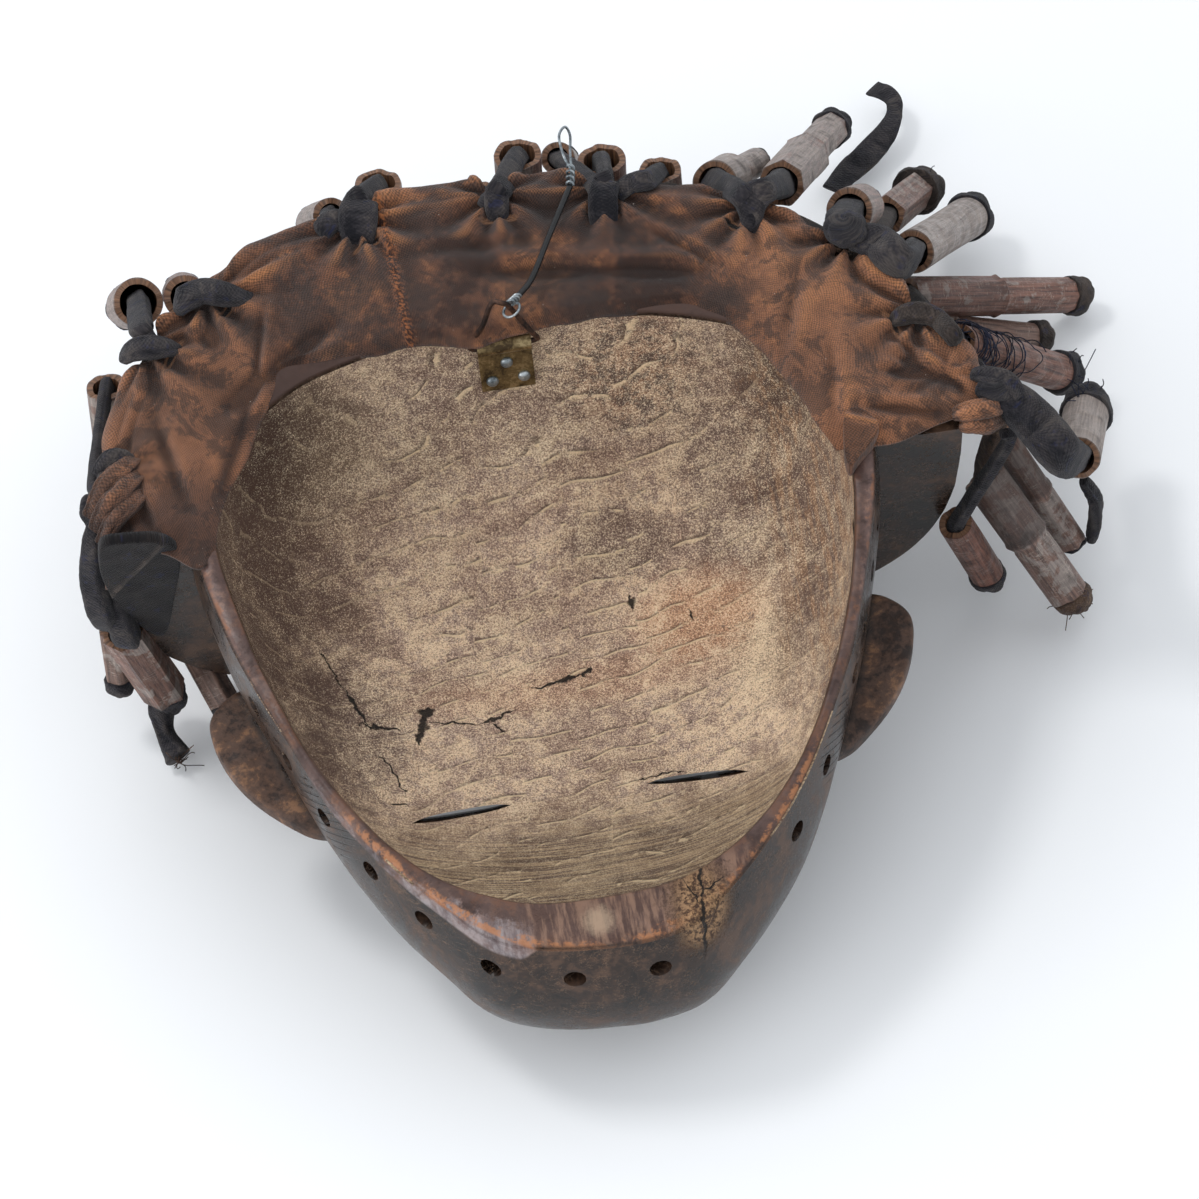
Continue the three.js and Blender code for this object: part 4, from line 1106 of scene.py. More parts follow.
# Long creases of the cloth (u, v): start, end, depth and width
creases = (
    ((-48, 196), (-78, 176), 2.2, 3.2), ((-66, 205), (-72, 178), 1.2, 1.4),
    ((-72, 178), (-84, 150), 1.4, 2.0), ((-4, 206), (30, 201), 1.6, 3.0), ((30, 201), (56, 196), 1.8, 2.6),
    ((44, 212), (62, 196), 1.2, 1.6), ((-60, 222), (-86, 208), 1.3, 1.5),
    ((-100, 176), (-94, 146), 1.2, 2.2), ((-108, 158), (-104, 140), 1.4, 1.8),
    ((84, 196), (74, 166), 1.2, 2.6), ((98, 190), (108, 176), 1.4, 1.8), ((88, 170), (84, 140), 1.0, 2.4),
    ((104, 160), (120, 148), 1.8, 2.2), ((92, 146), (116, 140), 1.5, 1.8),
    ((-28, 216), (10, 214), 0.9, 2.4), ((104, 168), (110, 158), 1.8, 1.3),
    ((112, 164), (117, 156), 1.6, 1.2), ((100, 156), (112, 152), 1.4, 1.5),
)


def bandGrid(across=82, steps=580):
    # s runs from the inner edge to the hem, with closer rows over the outer bend
    theta = np.linspace(*band["ends"], steps)[:, None]
    even = np.linspace(0, 1, across)[None]
    s = even - 0.035 * np.sin(2 * math.pi * (even - 0.2)) - 0.035 * math.sin(2 * math.pi * 0.2)
    s = (s - s[:, :1]) / (s[:, -1:] - s[:, :1])
    inner, outer = bandRadius(theta, "inner"), bandRadius(theta, "outer")
    rightEnd = np.clip((12 - theta) / 13, 0, 1) ** 1.5
    leftEnd = np.clip((theta - 167) / 14, 0, 1) ** 1.5
    turn = np.radians(
        theta - rightEnd * (1.6 * bell(s - 0.3, 0.2) - 3.4 * s) + leftEnd * 4.5 * bell(s - 0.14, 0.17),
    )
    scallop = np.zeros_like(theta)
    for u, v in ties.values():
        at = math.degrees(math.atan2(v - band["centre"], u))
        scallop -= 3.2 * bell(theta - at, 3.2)
    scallop += 0.8 * grain(np.concatenate([theta, theta * 0, theta * 0], 1), 9, 21)[:, None]
    outer = outer + scallop
    roll = band["roll"]
    top = np.clip(s / band["bendAt"], 0, 1)
    bend = np.clip((s - band["bendAt"]) / 0.07, 0, 1) * math.pi / 2
    drop = np.clip((s - band["hemAt"]) / 0.17, 0, 1)
    r = inner + (outer - roll - inner) * top + roll * np.sin(bend)
    crown = 1.6 * np.sin(math.pi * top) * (s < band["bendAt"])
    w = 1.9 + crown - roll * (1 - np.cos(bend)) - drop * (band["hem"] - 1.6)
    w = w - 3.4 * np.clip(1 - s / 0.07, 0, 1) ** 2 * np.clip(np.sin(np.radians(theta)) * 3, 0, 1)
    w = w - (3 * rightEnd ** 3 + 3 * leftEnd ** 3) * (s < 0.8)
    r = r + drop * 0.5
    u, v = r * np.cos(turn), band["centre"] + r * np.sin(turn)
    return np.stack(np.broadcast_arrays(u, v, w), -1), s


def sheetNormals(grid):
    normal = np.cross(np.gradient(grid, axis=0), np.gradient(grid, axis=1))
    return normal / (np.linalg.norm(normal, axis=-1, keepdims=True) + 1e-9)


def bandRelief(grid, s):
    # Fans of pleats round each tie, slits behind the ties, creases with a ridge beside them, hem and seam
    u, v = grid[..., 0], grid[..., 1]
    flat = grid * [1, 1, 0.6]
    relief = 1.2 * grain(flat, 38, 22, 2) + 0.6 * grain(flat * [1, 0.6, 1], 13, 23, 3)
    slit = np.zeros_like(u)
    for tie, (tieU, tieV) in ties.items():
        out = np.array([tieU, tieV - band["centre"]], float)
        reach = np.hypot(*out)
        out = out / reach
        x = (u - tieU) * -out[1] + (v - tieV) * out[0]
        y = (u - tieU) * -out[0] + (v - tieV) * -out[1]
        away = np.hypot(x, y + 2)
        fan = np.cos(np.arctan2(x, np.abs(y + 2) + 0.6) * 9 + 0.05 * tieU)
        pull = 0.25 if tie in ("pale_strip", "low_left_strip", "side_left_strip") else 1.0
        beyond = np.where(y > -9, 1, 0.3)
        relief = relief + pull * 1.9 * fan * bell(away - 5, 13) * np.clip(away / 6, 0, 1) * beyond
        relief = relief - pull * 1.8 * bell(away, 6)
        if tie not in ("side_left_strip", "low_left_strip", "corner_strip", "pale_strip"):
            slit = np.maximum(slit, bell(x, 6.4) ** 2 * bell(y - 5.4 - 0.02 * x * x, 0.95))
    for start, end, depth, width in creases:
        away, side, t = lineDistance(u, v, start, end)
        fade = np.sin(math.pi * np.clip(t, 0.04, 0.96)) ** 0.5
        ridge = 1.1 * depth * fade * bell(side - 1.6 * width, 1.3 * width)
        ridge = ridge * (away < 5 * width) * bell(away, 3 * width)
        relief = relief - 1.35 * depth * fade * bell(away, width) + ridge
    hemLine = bell(s - 0.66, 0.018) + 0.6 * bell(s - 0.73, 0.012)
    relief = relief - 0.8 * hemLine * np.clip(grain(flat, 30, 24, 1) + 0.6, 0, 1)
    seam = bell(lineDistance(u, v, (-30, 236), (-27, 186))[0], 1.5)
    relief = relief + seam * (0.9 + 0.6 * grain(grid, 2.2, 25, 2))
    relief = relief + 0.12 * grain(grid, 3, 26, 2)
    return relief - 2.2 * slit, slit, seam


def gridSheet(name, grid, material, **values):
    # An open grid of points, with quads between its rows
    rows, across = grid.shape[:2]
    first = np.arange(rows - 1)[:, None] * across + np.arange(across - 1)[None]
    quads = np.stack([first, first + 1, first + across + 1, first + across], -1).reshape(-1, 4)
    flat = {key: value.reshape(rows * across, -1).squeeze() for key, value in values.items()}
    return addMesh(name, grid.reshape(-1, 3), quads.tolist(), material, **flat)


def buildBand(material):
    # The band's surface moved along its normal by the relief, then given its thickness outwards
    grid, s = bandGrid()
    relief, slit, seam = bandRelief(grid, s)
    normal = sheetNormals(grid)
    if normal[len(grid) // 2, 20, 2] < 0:
        normal = -normal
    keep = np.clip(s / 0.03, 0.25, 1) * np.clip((1.02 - s) / 0.1, 0.3, 1)
    lift = np.maximum(relief * keep, -1.5)
    grid = grid + normal * lift[..., None]
    grid[..., 2] = np.where((s > 0.08) & (s < band["bendAt"]), np.maximum(grid[..., 2], 0.9), grid[..., 2])
    arc = np.radians(np.linspace(*band["ends"], len(grid)))[:, None] * 100
    cloth = np.stack(np.broadcast_arrays(arc, s * 68, relief * 0), -1)
    values = dict(carve=grid, cloth=cloth, slit=slit, seam=seam, relief=relief)
    flipped = {key: value[:, ::-1] for key, value in values.items()}
    made = gridSheet("stretched_cloth", placed(grid)[:, ::-1], material, **flipped)
    thick = made.modifiers.new("thickness", "SOLIDIFY")
    thick.thickness = band["thickness"] * mm
    thick.offset = 1.0
    return made


# Cane tubes (millimetres in the frame), as in the part, with how each is finished
tubeWall = 1.8
tubes = dict(
    upper_left_tube=dict(ends=((-102, 154, 100), (-109, 211, 45)), radius=7.1),
    crown_left_tube=dict(ends=((-88, 150, 103), (-92, 208, 50)), radius=6.3),
    side_left_tube=dict(ends=((-114, 130, 92), (-118, 129, 38)), radius=5.6),
    low_left_tube=dict(ends=((-123, 83, 42), (-124, 80, 23)), radius=3.9),
    cheek_left_tube=dict(ends=((-119, 72, 53), (-112, 78, 19)), radius=6.3),
    inner_left_tube=dict(ends=((-103, 92, 22), (-96, 78, 9)), radius=4.6),
    top_left_tube=dict(ends=((-29, 182, 106), (-33, 176, 50)), radius=6.8),
    back_left_tube=dict(ends=((-44, 180, 98), (-50, 226, 54)), radius=5.4),
    crown_tube=dict(ends=((12, 183, 108), (10, 183, 46)), radius=7),
    crown_thin_tube=dict(ends=((0, 175, 103), (-3, 176, 52)), radius=4.6),
    back_middle_tube=dict(ends=((24, 190, 98), (28, 232, 58)), radius=5),
    top_right_tube=dict(ends=((36, 180, 104), (34, 178, 46)), radius=7),
    back_right_tube=dict(ends=((52, 173, 103), (52, 170, 50)), radius=6.2),
    bark_tube=dict(ends=((67, 166, 101), (84, 206, 70)), radius=6.8, far=4.4, joint=0.34),
    wrapped_tube=dict(ends=((88, 180, 84), (116, 266, 24)), radius=6.8, far=5.4, joint=0.48),
    corner_tube=dict(ends=((104, 154, 94), (111, 177, 73)), radius=6.7),
    grey_tube=dict(ends=((123, 160, 68), (152, 224, 17)), radius=6.5),
    brown_tube=dict(ends=((122, 200, 46), (137, 232, 24)), radius=5.7),
    long_tube=dict(ends=((122, 166, 44), (178, 190, 10)), radius=6, far=5.5, joint=0.52),
    floor_tube=dict(ends=((136, 168, 25), (163, 175, 9)), radius=4.7),
    thread_tube=dict(ends=((130, 126, 62), (166, 151, 17)), radius=5.6),
    pale_tube=dict(ends=((157, 88, 47), (165, 113, 38)), radius=6.7),
    thin_tube=dict(ends=((136, 92, 56), (155, 86, 14)), radius=4.2, joint=0.5),
    jointed_tube=dict(ends=((129, 83, 50), (150, 66, 14)), radius=6.4, far=5.8, joint=0.5),
    red_tube=dict(ends=((118, 70, 47), (129, 80, 12)), radius=4.9),
)
# How a tube is finished: how red, how grey and how dark its near part is (0 to 1), and its faceted sides
looks = dict(
    wrapped_tube=dict(red=0.45, grey=0.75, facets=7), bark_tube=dict(red=0.2, grey=0.9),
    grey_tube=dict(red=0.0, grey=1.0), brown_tube=dict(red=0.5, grey=0.45, facets=5),
    long_tube=dict(red=0.8, grey=0.4, facets=8, dark=0.25), floor_tube=dict(red=0.2, grey=0.0),
    pale_tube=dict(red=0.0, grey=1.1), jointed_tube=dict(red=0.3, grey=0.6, dark=0.6),
    red_tube=dict(red=1.0, grey=0.1, dark=0.15), thin_tube=dict(red=0.35, grey=0.5, dark=0.6),
    thread_tube=dict(red=0.8, grey=0.1), inner_left_tube=dict(red=0.2, grey=0.0, facets=5),
    cheek_left_tube=dict(red=0.6, grey=0.35, facets=6), low_left_tube=dict(red=0.1, grey=0.5, facets=6),
    top_left_tube=dict(red=0.3, grey=0.7), upper_left_tube=dict(red=0.3, grey=0.6),
    crown_left_tube=dict(red=0.6, grey=0.4), crown_tube=dict(red=0.6, grey=0.4),
    top_right_tube=dict(red=0.7, grey=0.35), back_right_tube=dict(red=0.4, grey=0.5),
    corner_tube=dict(red=0.5, grey=0.6), back_middle_tube=dict(red=0.1, grey=0.9),
    back_left_tube=dict(red=0.3, grey=0.7),
)


def axes(ends):
    start, end = (np.array(p, float) for p in ends)
    along = (end - start) / np.linalg.norm(end - start)
    side = np.cross([0, 0, 1.0], along)
    side = np.array([1.0, 0, 0]) if np.linalg.norm(side) < 0.1 else side / np.linalg.norm(side)
    return start, end, along, side, np.cross(along, side)


def caneTube(name, material, around=48):
    # One closed run of rings: over the tube, round its far end, back through the bore, round its near end
    shape, look = tubes[name], looks.get(name, {})
    start, end, along, side, up = axes(shape["ends"])
    radius = shape["radius"]
    length = np.linalg.norm(end - start)
    seed = sum(map(ord, name)) % 97
    outRows = max(24, int(length / 1.1))
    t = np.linspace(0, 1, outRows)
    far, joint = shape.get("far", radius), shape.get("joint", 2)
    out = np.where(t < joint, radius, far)
    out = out + 0.5 * bell((t - joint) * length, 1.0) - 0.5 * bell((t - joint) * length - 1.4, 0.5)
    wall = np.concatenate([[out[0] - tubeWall, out[0] - 0.5], out, [far - 0.5, far - tubeWall]])
    at = np.concatenate([[0, 0], t * length, [length, length]])
    inT = np.linspace(1, 0, 14)[1:-1]
    wall = np.concatenate([wall, np.where(inT < joint, radius, far) - tubeWall])
    at = np.concatenate([at, inT * length])
    rows = len(wall)
    turn = directions(around)
    inside = np.zeros(rows)
    inside[:2] = 1
    inside[outRows + 2:] = 1
    outer = 1 - inside[:, None]
    facets = look.get("facets", 0)
    flat = 0.0
    if facets:
        sector = (turn / (2 * math.pi) * facets + 0.3 * math.sin(seed)) % 1 - 0.5
        flat = math.cos(math.pi / facets) / np.cos(sector * 2 * math.pi / facets) - 1
        flat = np.broadcast_to(flat, (rows, around)) + 0.5 * (1 - math.cos(math.pi / facets))
    x, y = np.cos(turn)[None] * 6, np.sin(turn)[None] * 6
    local = np.stack(np.broadcast_arrays(x, y, at[:, None] * 0.12), -1)
    ripple = 0.28 * grain(local, 5, seed, 3) * outer + 0.22 * grain(local + 40, 4, seed, 2) * (1 - outer)
    r = wall[:, None] * (1 + flat * outer) + ripple
    ragged = 0.7 * grain(np.stack([np.cos(turn) * 4, np.sin(turn) * 4, turn * 0], -1), 1.8, seed + 3, 3)
    endShare = np.exp(-at / 2.5)[:, None] - np.exp(-(length - at) / 2.5)[:, None]
    height = at[:, None] + ragged * endShare
    ring = start + height[..., None] * along
    ring = ring + (r * np.cos(turn))[..., None] * side + (r * np.sin(turn))[..., None] * up
    points = ring.reshape(-1, 3)
    faces = outward(points, ringQuads(rows, around, closed=True))
    fade = np.broadcast_to(inside[:, None], (rows, around)).ravel()
    own = np.stack(np.broadcast_arrays(turn[None] * radius, at[:, None], np.full((1, 1), seed * 7.0)), -1)
    dark = np.where(at < joint * length, look.get("dark", 0.0), 0.0)
    shares = (np.full(rows, look.get("red", 0.3)), np.full(rows, look.get("grey", 0.6)), dark)
    tint = np.repeat(np.stack(shares, -1), around, 0)
    made = addMesh(
        "cane_" + name, points, faces, material, inside=fade, along=own.reshape(-1, 3), tint=tint,
    )
    made.data.set_sharp_from_angle(angle=math.radians(38 if facets else 60))
    return made


# Soft strands: a path with half-widths and half-heights, smoothed and carried along without twist
def smoothPath(path, count):
    # Catmull-Rom curve through the points, whole array at once
    p = np.asarray(path, float)
    p = np.concatenate([[2 * p[0] - p[1]], p, [2 * p[-1] - p[-2]]])
    t = np.linspace(0, len(p) - 3 - 1e-9, count)
    k = t.astype(int)
    f = (t - k)[:, None]
    a, b, c, d = p[k], p[k + 1], p[k + 2], p[k + 3]
    return 0.5 * (
        2 * b + (c - a) * f + (2 * a - 5 * b + 4 * c - d) * f ** 2 + (3 * b - a - 3 * c + d) * f ** 3
    )


def strandRings(path, widths, heights, around=24, count=60, square=0.75, startSide=None):
    # Rounded sections, |cos|^square and |sin|^square, whose side is carried along the path by projection
    values = np.column_stack([path, widths, heights])
    curve = smoothPath(values, count)
    middle, width, height = curve[:, :3], np.abs(curve[:, 3]), np.abs(curve[:, 4])
    along = np.gradient(middle, axis=0)
    along = along / (np.linalg.norm(along, axis=1, keepdims=True) + 1e-9)
    side = np.cross([0, 0, 1.0], along[0]) if startSide is None else np.asarray(startSide, float)
    side = np.array([1.0, 0, 0]) if np.linalg.norm(side) < 0.15 else side
    sides = []
    for step in along:
        side = side - step * np.dot(side, step)
        side = side / np.linalg.norm(side)
        sides.append(side)
    sides = np.array(sides)
    ups = np.cross(along, sides)
    turn = directions(around)
    x = np.sign(np.cos(turn)) * np.abs(np.cos(turn)) ** square
    y = np.sign(np.sin(turn)) * np.abs(np.sin(turn)) ** square
    across = (width[:, None] * x)[..., None] * sides[:, None]
    return middle[:, None] + across + (height[:, None] * y)[..., None] * ups[:, None]


def wrinkled(rings, seed, amount=0.45, fold=0.5):
    # Creases that run along the strand, and fine crumple across it
    normal = ringNormals(rings)
    normal = normal * np.sign((normal * (rings - rings.mean(1, keepdims=True))).sum(-1).mean())
    around = rings.shape[1]
    turn = directions(around)[None]
    drift = np.linspace(0, 2.5, len(rings))[:, None]
    folds = np.abs(np.sin(turn * 2.5 + drift + seed)) ** 0.6 - 0.6
    crumple = 0.25 * amount * grain(rings, 1.4, seed + 5, 2)
    relief = fold * folds + amount * grain(rings, 5, seed, 3) + crumple
    ends = np.clip(np.minimum(np.arange(len(rings)), np.arange(len(rings))[::-1]) / 3, 0, 1)[:, None]
    relief = relief * ends
    return rings + normal * relief[..., None], relief


def joinParts(name, parts, material):
    # Each part is its points and faces, and for cloth also its cloth coordinates and relief
    points, faces, count = [], [], 0
    for part in parts:
        points.append(part[0])
        faces += [[index + count for index in face] for face in part[1]]
        count += len(part[0])
    values = {}
    if len(parts[0]) > 2:
        values["cloth"] = np.concatenate([part[2] for part in parts])
        values["relief"] = np.concatenate([part[3] for part in parts])
    points = np.concatenate(points)
    return addMesh(name, points, faces, material, carve=carved(points), **values)


def edgePoint(tie, out, w):
    # A point beside the band's hem in the direction of a tie
    angle = math.degrees(math.atan2(tie[1] - band["centre"], tie[0]))
    r = float(bandRadius(np.array([angle]), "outer")[0]) + out - 2
    turn = math.radians(angle)
    return placed([r * math.cos(turn), band["centre"] + r * math.sin(turn), w])


def ballRings(middle, size, seed, spokes=5):
    # A knot seen from above: a flattened ball with folds that run round and into its middle
    slope = np.radians(np.linspace(-88, 88, 28))[:, None]
    turn = directions(40)[None]
    swirl = np.abs(np.sin((turn * spokes + 3.2 * slope) / 2 + seed)) ** 0.5
    r = 1 - 0.14 * (1 - swirl) * np.cos(slope) ** 0.5
    x, y, z = r * np.cos(slope) * np.cos(turn), r * np.cos(slope) * np.sin(turn), r * np.sin(slope)
    rings = middle + np.stack([x * size[0], y * size[1], z * size[2]], -1)
    return rings + 0.35 * grain(rings, 3, seed, 3)[..., None] * ringNormals(rings)


# Rag strips in the carving's millimetres. straps run on the band and tails run on into a tube:
# each point is (u, v, w, half width, half height). knots are (u, v, w), (half sizes) and folds.
strips = dict(
    upper_left_strip=dict(
        straps=[
            (
                (-90.5, 197.2, 1, 1.3, 0.8), (-94, 196.6, 4.2, 2.8, 1.6), (-98.6, 196.4, 5.6, 3.4, 2.2),
                (-103.4, 197, 4.6, 3, 2), (-106.5, 197.6, 0.5, 2, 1.4),
            ),
        ],
        tails=dict(
            upper_left_tube=(
                (-98.6, 197.5, 3.4, 3.8, 1.8), (-99.4, 202, 3.4, 2.4, 1.7), (-100.5, 205.5, 2.2, 3.6, 2.2),
            ),
        ),
    ),
    crown_left_strip=dict(
        tails=dict(
            crown_left_tube=(
                (-67.8, 210.8, 0.6, 0.8, 0.8), (-71.5, 209.6, 3.6, 2.8, 1.2), (-76.5, 210, 5.6, 4.2, 1.6),
                (-82.5, 211.6, 6, 4.3, 1.8), (-88.3, 210.6, 4.4, 4.1, 2),
            ),
        ),
    ),
    side_left_strip=dict(
        straps=[
            (
                (-106.5, 163.5, 0.6, 1, 0.8), (-109.5, 164.6, 3.4, 1.8, 1.2), (-113.5, 164.4, 4, 2.2, 1.5),
                (-117.5, 161.5, 1, 1.8, 1.4),
            ),
        ],
        tails=dict(side_left_tube=((-114, 162, 2.4, 1.8, 1.3), (-119, 158, -2, 2.2, 1.7))),
    ),
    low_left_strip=dict(
        tails=dict(
            low_left_tube=(
                (-119.6, 149, 0, 1.6, 1.4), (-121.6, 144.6, -7, 2.8, 2.4), (-123.4, 140.4, -18, 3.6, 3),
                (-123, 135.6, -32, 3.6, 3),
            ),
            cheek_left_tube=(
                (-117.6, 146, -3, 1.6, 1.4), (-119, 142, -14, 2.8, 2.4), (-119.4, 138.6, -28, 3.6, 3),
                (-118, 133, -41, 4, 3.4),
            ),
        ),
    ),
    inner_left_strip=dict(hem=-114, place=158, tubes=("inner_left_tube",)),
    top_left_strip=dict(
        tails=dict(
            top_left_tube=(
                (-37.2, 222.6, 0.4, 4.2, 0.7), (-36.8, 225.4, 3.6, 5.3, 1), (-36.2, 229.6, 4.8, 5.6, 1.3),
                (-35, 234.2, 3.4, 5.2, 1.6), (-33.6, 237, 0.5, 4.4, 2),
            ),
            back_left_tube=(
                (-38.5, 228, 2.4, 3, 1.4), (-43, 230.4, 2.6, 3.4, 1.8), (-46.5, 229.5, -0.5, 3.2, 2),
            ),
        ),
    ),
    crown_strip=dict(
        tails=dict(
            crown_tube=(
                (2.6, 223.6, 0.4, 2.8, 0.7), (2.8, 226.2, 3.2, 3.4, 1), (3.4, 230, 4.2, 3.4, 1.3),
                (5.4, 233.6, 2.6, 3.4, 1.7),
            ),
            crown_thin_tube=((1.5, 229, 2.2, 2.6, 1.2), (0, 231.4, 0.6, 2.6, 1.5)),
        ),
    ),
    top_right_strip=dict(
        tails=dict(
            top_right_tube=(
                (31.8, 216.6, 0.4, 4, 0.8), (31.9, 219, 3.4, 4.2, 1.1), (32.6, 223.6, 4.8, 4.2, 1.4),
                (34, 228, 3.6, 4.1, 1.7), (34.6, 231, 0.6, 4, 2),
            ),
            back_middle_tube=((33, 225, 2, 3, 1.4), (30.5, 231, 1, 2.8, 1.5)),
        ),
    ),
    back_right_strip=dict(
        tails=dict(
            back_right_tube=(
                (36.5, 224.6, 2, 2.2, 1.2), (41, 227.4, 3.4, 2.8, 1.6), (46.5, 228.6, 2, 3, 1.8),
            ),
        ),
    ),
    bark_strip=dict(
        tails=dict(
            bark_tube=(
                (71.6, 206.6, 0.4, 1.2, 0.8), (71.8, 209.6, 4, 2.4, 1.5), (72, 214.4, 6, 3.8, 2),
                (70, 218.6, 4.6, 3.6, 2),
            ),
            wrapped_tube=(
                (72, 206.8, 0.6, 1.4, 0.8), (73, 210.4, 4.4, 3, 1.6), (74.6, 215.2, 6.4, 4.4, 2.2),
                (79.5, 218.8, 3.6, 3.4, 2.2),
            ),
        ),
    ),
    corner_strip=dict(
        knots=[((97.4, 200.6, 6.2), (6.4, 6.6, 4.4), 5)],
        tails=dict(
            corner_tube=((96.6, 203.4, 3, 4.4, 1.8), (97.6, 207.4, 1.2, 4.2, 2.2)),
            grey_tube=((100, 199.4, 3.4, 4.4, 2.4), (106, 195.6, 4, 5.2, 3), (111.5, 190.5, 1, 5, 3.6)),
        ),
    ),
    brown_strip=dict(hem=100, place=199, tubes=("brown_tube",)),
    long_strip=dict(
        tails=dict(
            long_tube=(
                (104.6, 171.4, 0.4, 1, 0.8), (107.4, 171.4, 3.6, 2.6, 1.4), (112, 171, 5.2, 3.1, 1.8),
                (117.5, 168.8, 4, 2.8, 2), (121.5, 165, -1, 2.6, 2),
            ),
            floor_tube=((112, 170.5, 1.5, 2.4, 1.6), (119, 169, -3, 2.6, 1.8), (124, 170, -14, 2.6, 1.8)),
        ),
    ),
    thread_strip=dict(hem=116, place=172, tubes=("thread_tube",)),
    pale_strip=dict(
        knots=[((129.4, 144.6, 3.2), (5.9, 4.5, 3.4), 3)],
        straps=[
            (
                (124, 150.6, 2.4, 1.6, 1.2), (127.6, 148.4, 4.6, 2.6, 1.8), (132, 145.6, 4.6, 3, 2),
                (135, 141.8, 1.6, 2.6, 1.8),
            ),
        ],
        tails=dict(
            pale_tube=(
                (128.6, 145.4, 1, 3.4, 2), (133.4, 141.4, 0.6, 5.6, 2.6), (139.5, 135.4, -4, 6.6, 2.6),
                (146, 128.4, -11, 6.2, 3.4),
            ),
        ),
    ),
    thin_strip=dict(hem=117, place=159, tubes=("thin_tube",)),
    jointed_strip=dict(hem=118, place=149, tubes=("jointed_tube",)),
    red_strip=dict(hem=118, place=139, width=0.5, tubes=("red_tube",)),
)

# Rag pads on the tubes' far ends: how far they reach, how bulky, and how far to one side they sag
pads = dict(
    wrapped_tube=dict(reach=6.5, bulk=1.12, lap=3, sag=(-1.2, 0.8)),
    brown_tube=dict(reach=7.5, bulk=1.3, lap=3, sag=(-2, 0.5)),
    grey_tube=dict(reach=8, bulk=1.14, lap=4, sag=(1.4, 0.8)),
    long_tube=dict(reach=7.5, bulk=1.08, lap=3, sag=(0.6, 0)),
    floor_tube=dict(reach=5.5, bulk=1.2, lap=2, sag=(0, 1)),
    thread_tube=dict(reach=7, bulk=1.15, lap=3, sag=(0.5, 0.8)),
    pale_tube=dict(reach=11, bulk=1.12, lap=1, sag=(0.5, 1.5)),
    thin_tube=dict(reach=3.2, bulk=1.0, sag=(0.6, 0)),
    jointed_tube=dict(reach=7.5, bulk=1.02, sag=(0.8, 0.5)),
    red_tube=dict(reach=5.5, bulk=1.08, lap=2, sag=(0.4, 0)),
    low_left_tube=dict(reach=4.5, bulk=1.15, lap=2, sag=(0, 0)),
    cheek_left_tube=dict(reach=12, bulk=0.9, sag=(0.6, 0.4)),
)


# Tubes whose bore shows beside the rag
openBores = (
    "upper_left_tube", "crown_left_tube", "top_left_tube", "crown_tube", "top_right_tube",
    "back_right_tube", "side_left_tube",
)

# Loose ends of rags, in the frame's millimetres: (x, y, z, half width, half height) along each
looseEnds = dict(
    low_left_strip=[
        (
            (-112.6, 78, 19, 3.4, 3.2), (-114, 75.5, 13, 3.4, 3), (-113.8, 71.5, 9, 2.4, 2.2),
            (-112.6, 67.6, 7, 3.2, 2.6), (-111, 63.6, 5.6, 4, 2.6),
        ),
    ],
    pale_strip=[
        (
            (158.5, 86.5, 39, 2, 1.3), (161.5, 85.5, 32, 3.2, 1.7), (162, 85.4, 24, 2.8, 1.8),
            (161, 85.2, 16, 3.6, 1.6),
        ),
    ],
)


def strapRings(path, count=70, extra=()):
    # Along named carving points, then along points of the frame; its width starts level with the band
    points, sizes = [], []
    for u, v, w, wide, high in path:
        points.append(placed([u, v, w]))
        sizes.append((wide, high))
    for point, wide, high in extra:
        points.append(point)
        sizes.append((wide, high))
    points = np.array(points)
    widths, heights = np.array(sizes).T
    up = np.array([0, -tiltSin, tiltCos])
    side = np.cross(up, points[1] - points[0])
    return strandRings(points, widths, heights, around=32, count=count, square=0.62, startSide=side)


def padRings(tube, seed):
    # Domed rag over a tube's far end: folded round the rim, pinched to a tip, sagging to one side
    shape, look = tubes[tube], pads.get(tube, {})
    start, end, along, side, up = axes(shape["ends"])
    radius = shape.get("far", shape["radius"])
    reach, bulk, lap = look.get("reach", 3.6), look.get("bulk", 0.94), look.get("lap", 0.0)
    stage = np.linspace(0, 1, 34)
    at = np.interp(stage, [0, 0.1, 0.3, 1], [-0.2 - lap, 0.15 - lap, 0.4, reach])
    profile = (
        [0, 0.08, 0.3, 0.45, 0.6, 0.75, 0.88, 0.95, 1], [0.9, 1, 1.02, 1, 0.9, 0.72, 0.42, 0.2, 0.12],
    )
    r = radius * bulk * np.interp(stage, *profile)
    turn = directions(40)
    folds = np.abs(np.sin(turn[None] * 2.5 + 3.5 * stage[:, None] + seed)) ** 0.6 - 0.6
    rr = r[:, None] * (1 + 0.16 * folds * np.clip(stage[:, None] * 3 - 0.4, 0, 1))
    sag = look.get("sag", (0.3, 0.3))
    hang = (np.clip(stage, 0.3, 1) - 0.3)[:, None] * (sag[0] * side + sag[1] * up) * 2
    middle = end + at[:, None] * along + hang
    rings = middle[:, None] + (rr * np.cos(turn))[..., None] * side + (rr * np.sin(turn))[..., None] * up
    return rings + 0.55 * grain(rings, 4, seed, 3)[..., None] * ringNormals(rings)


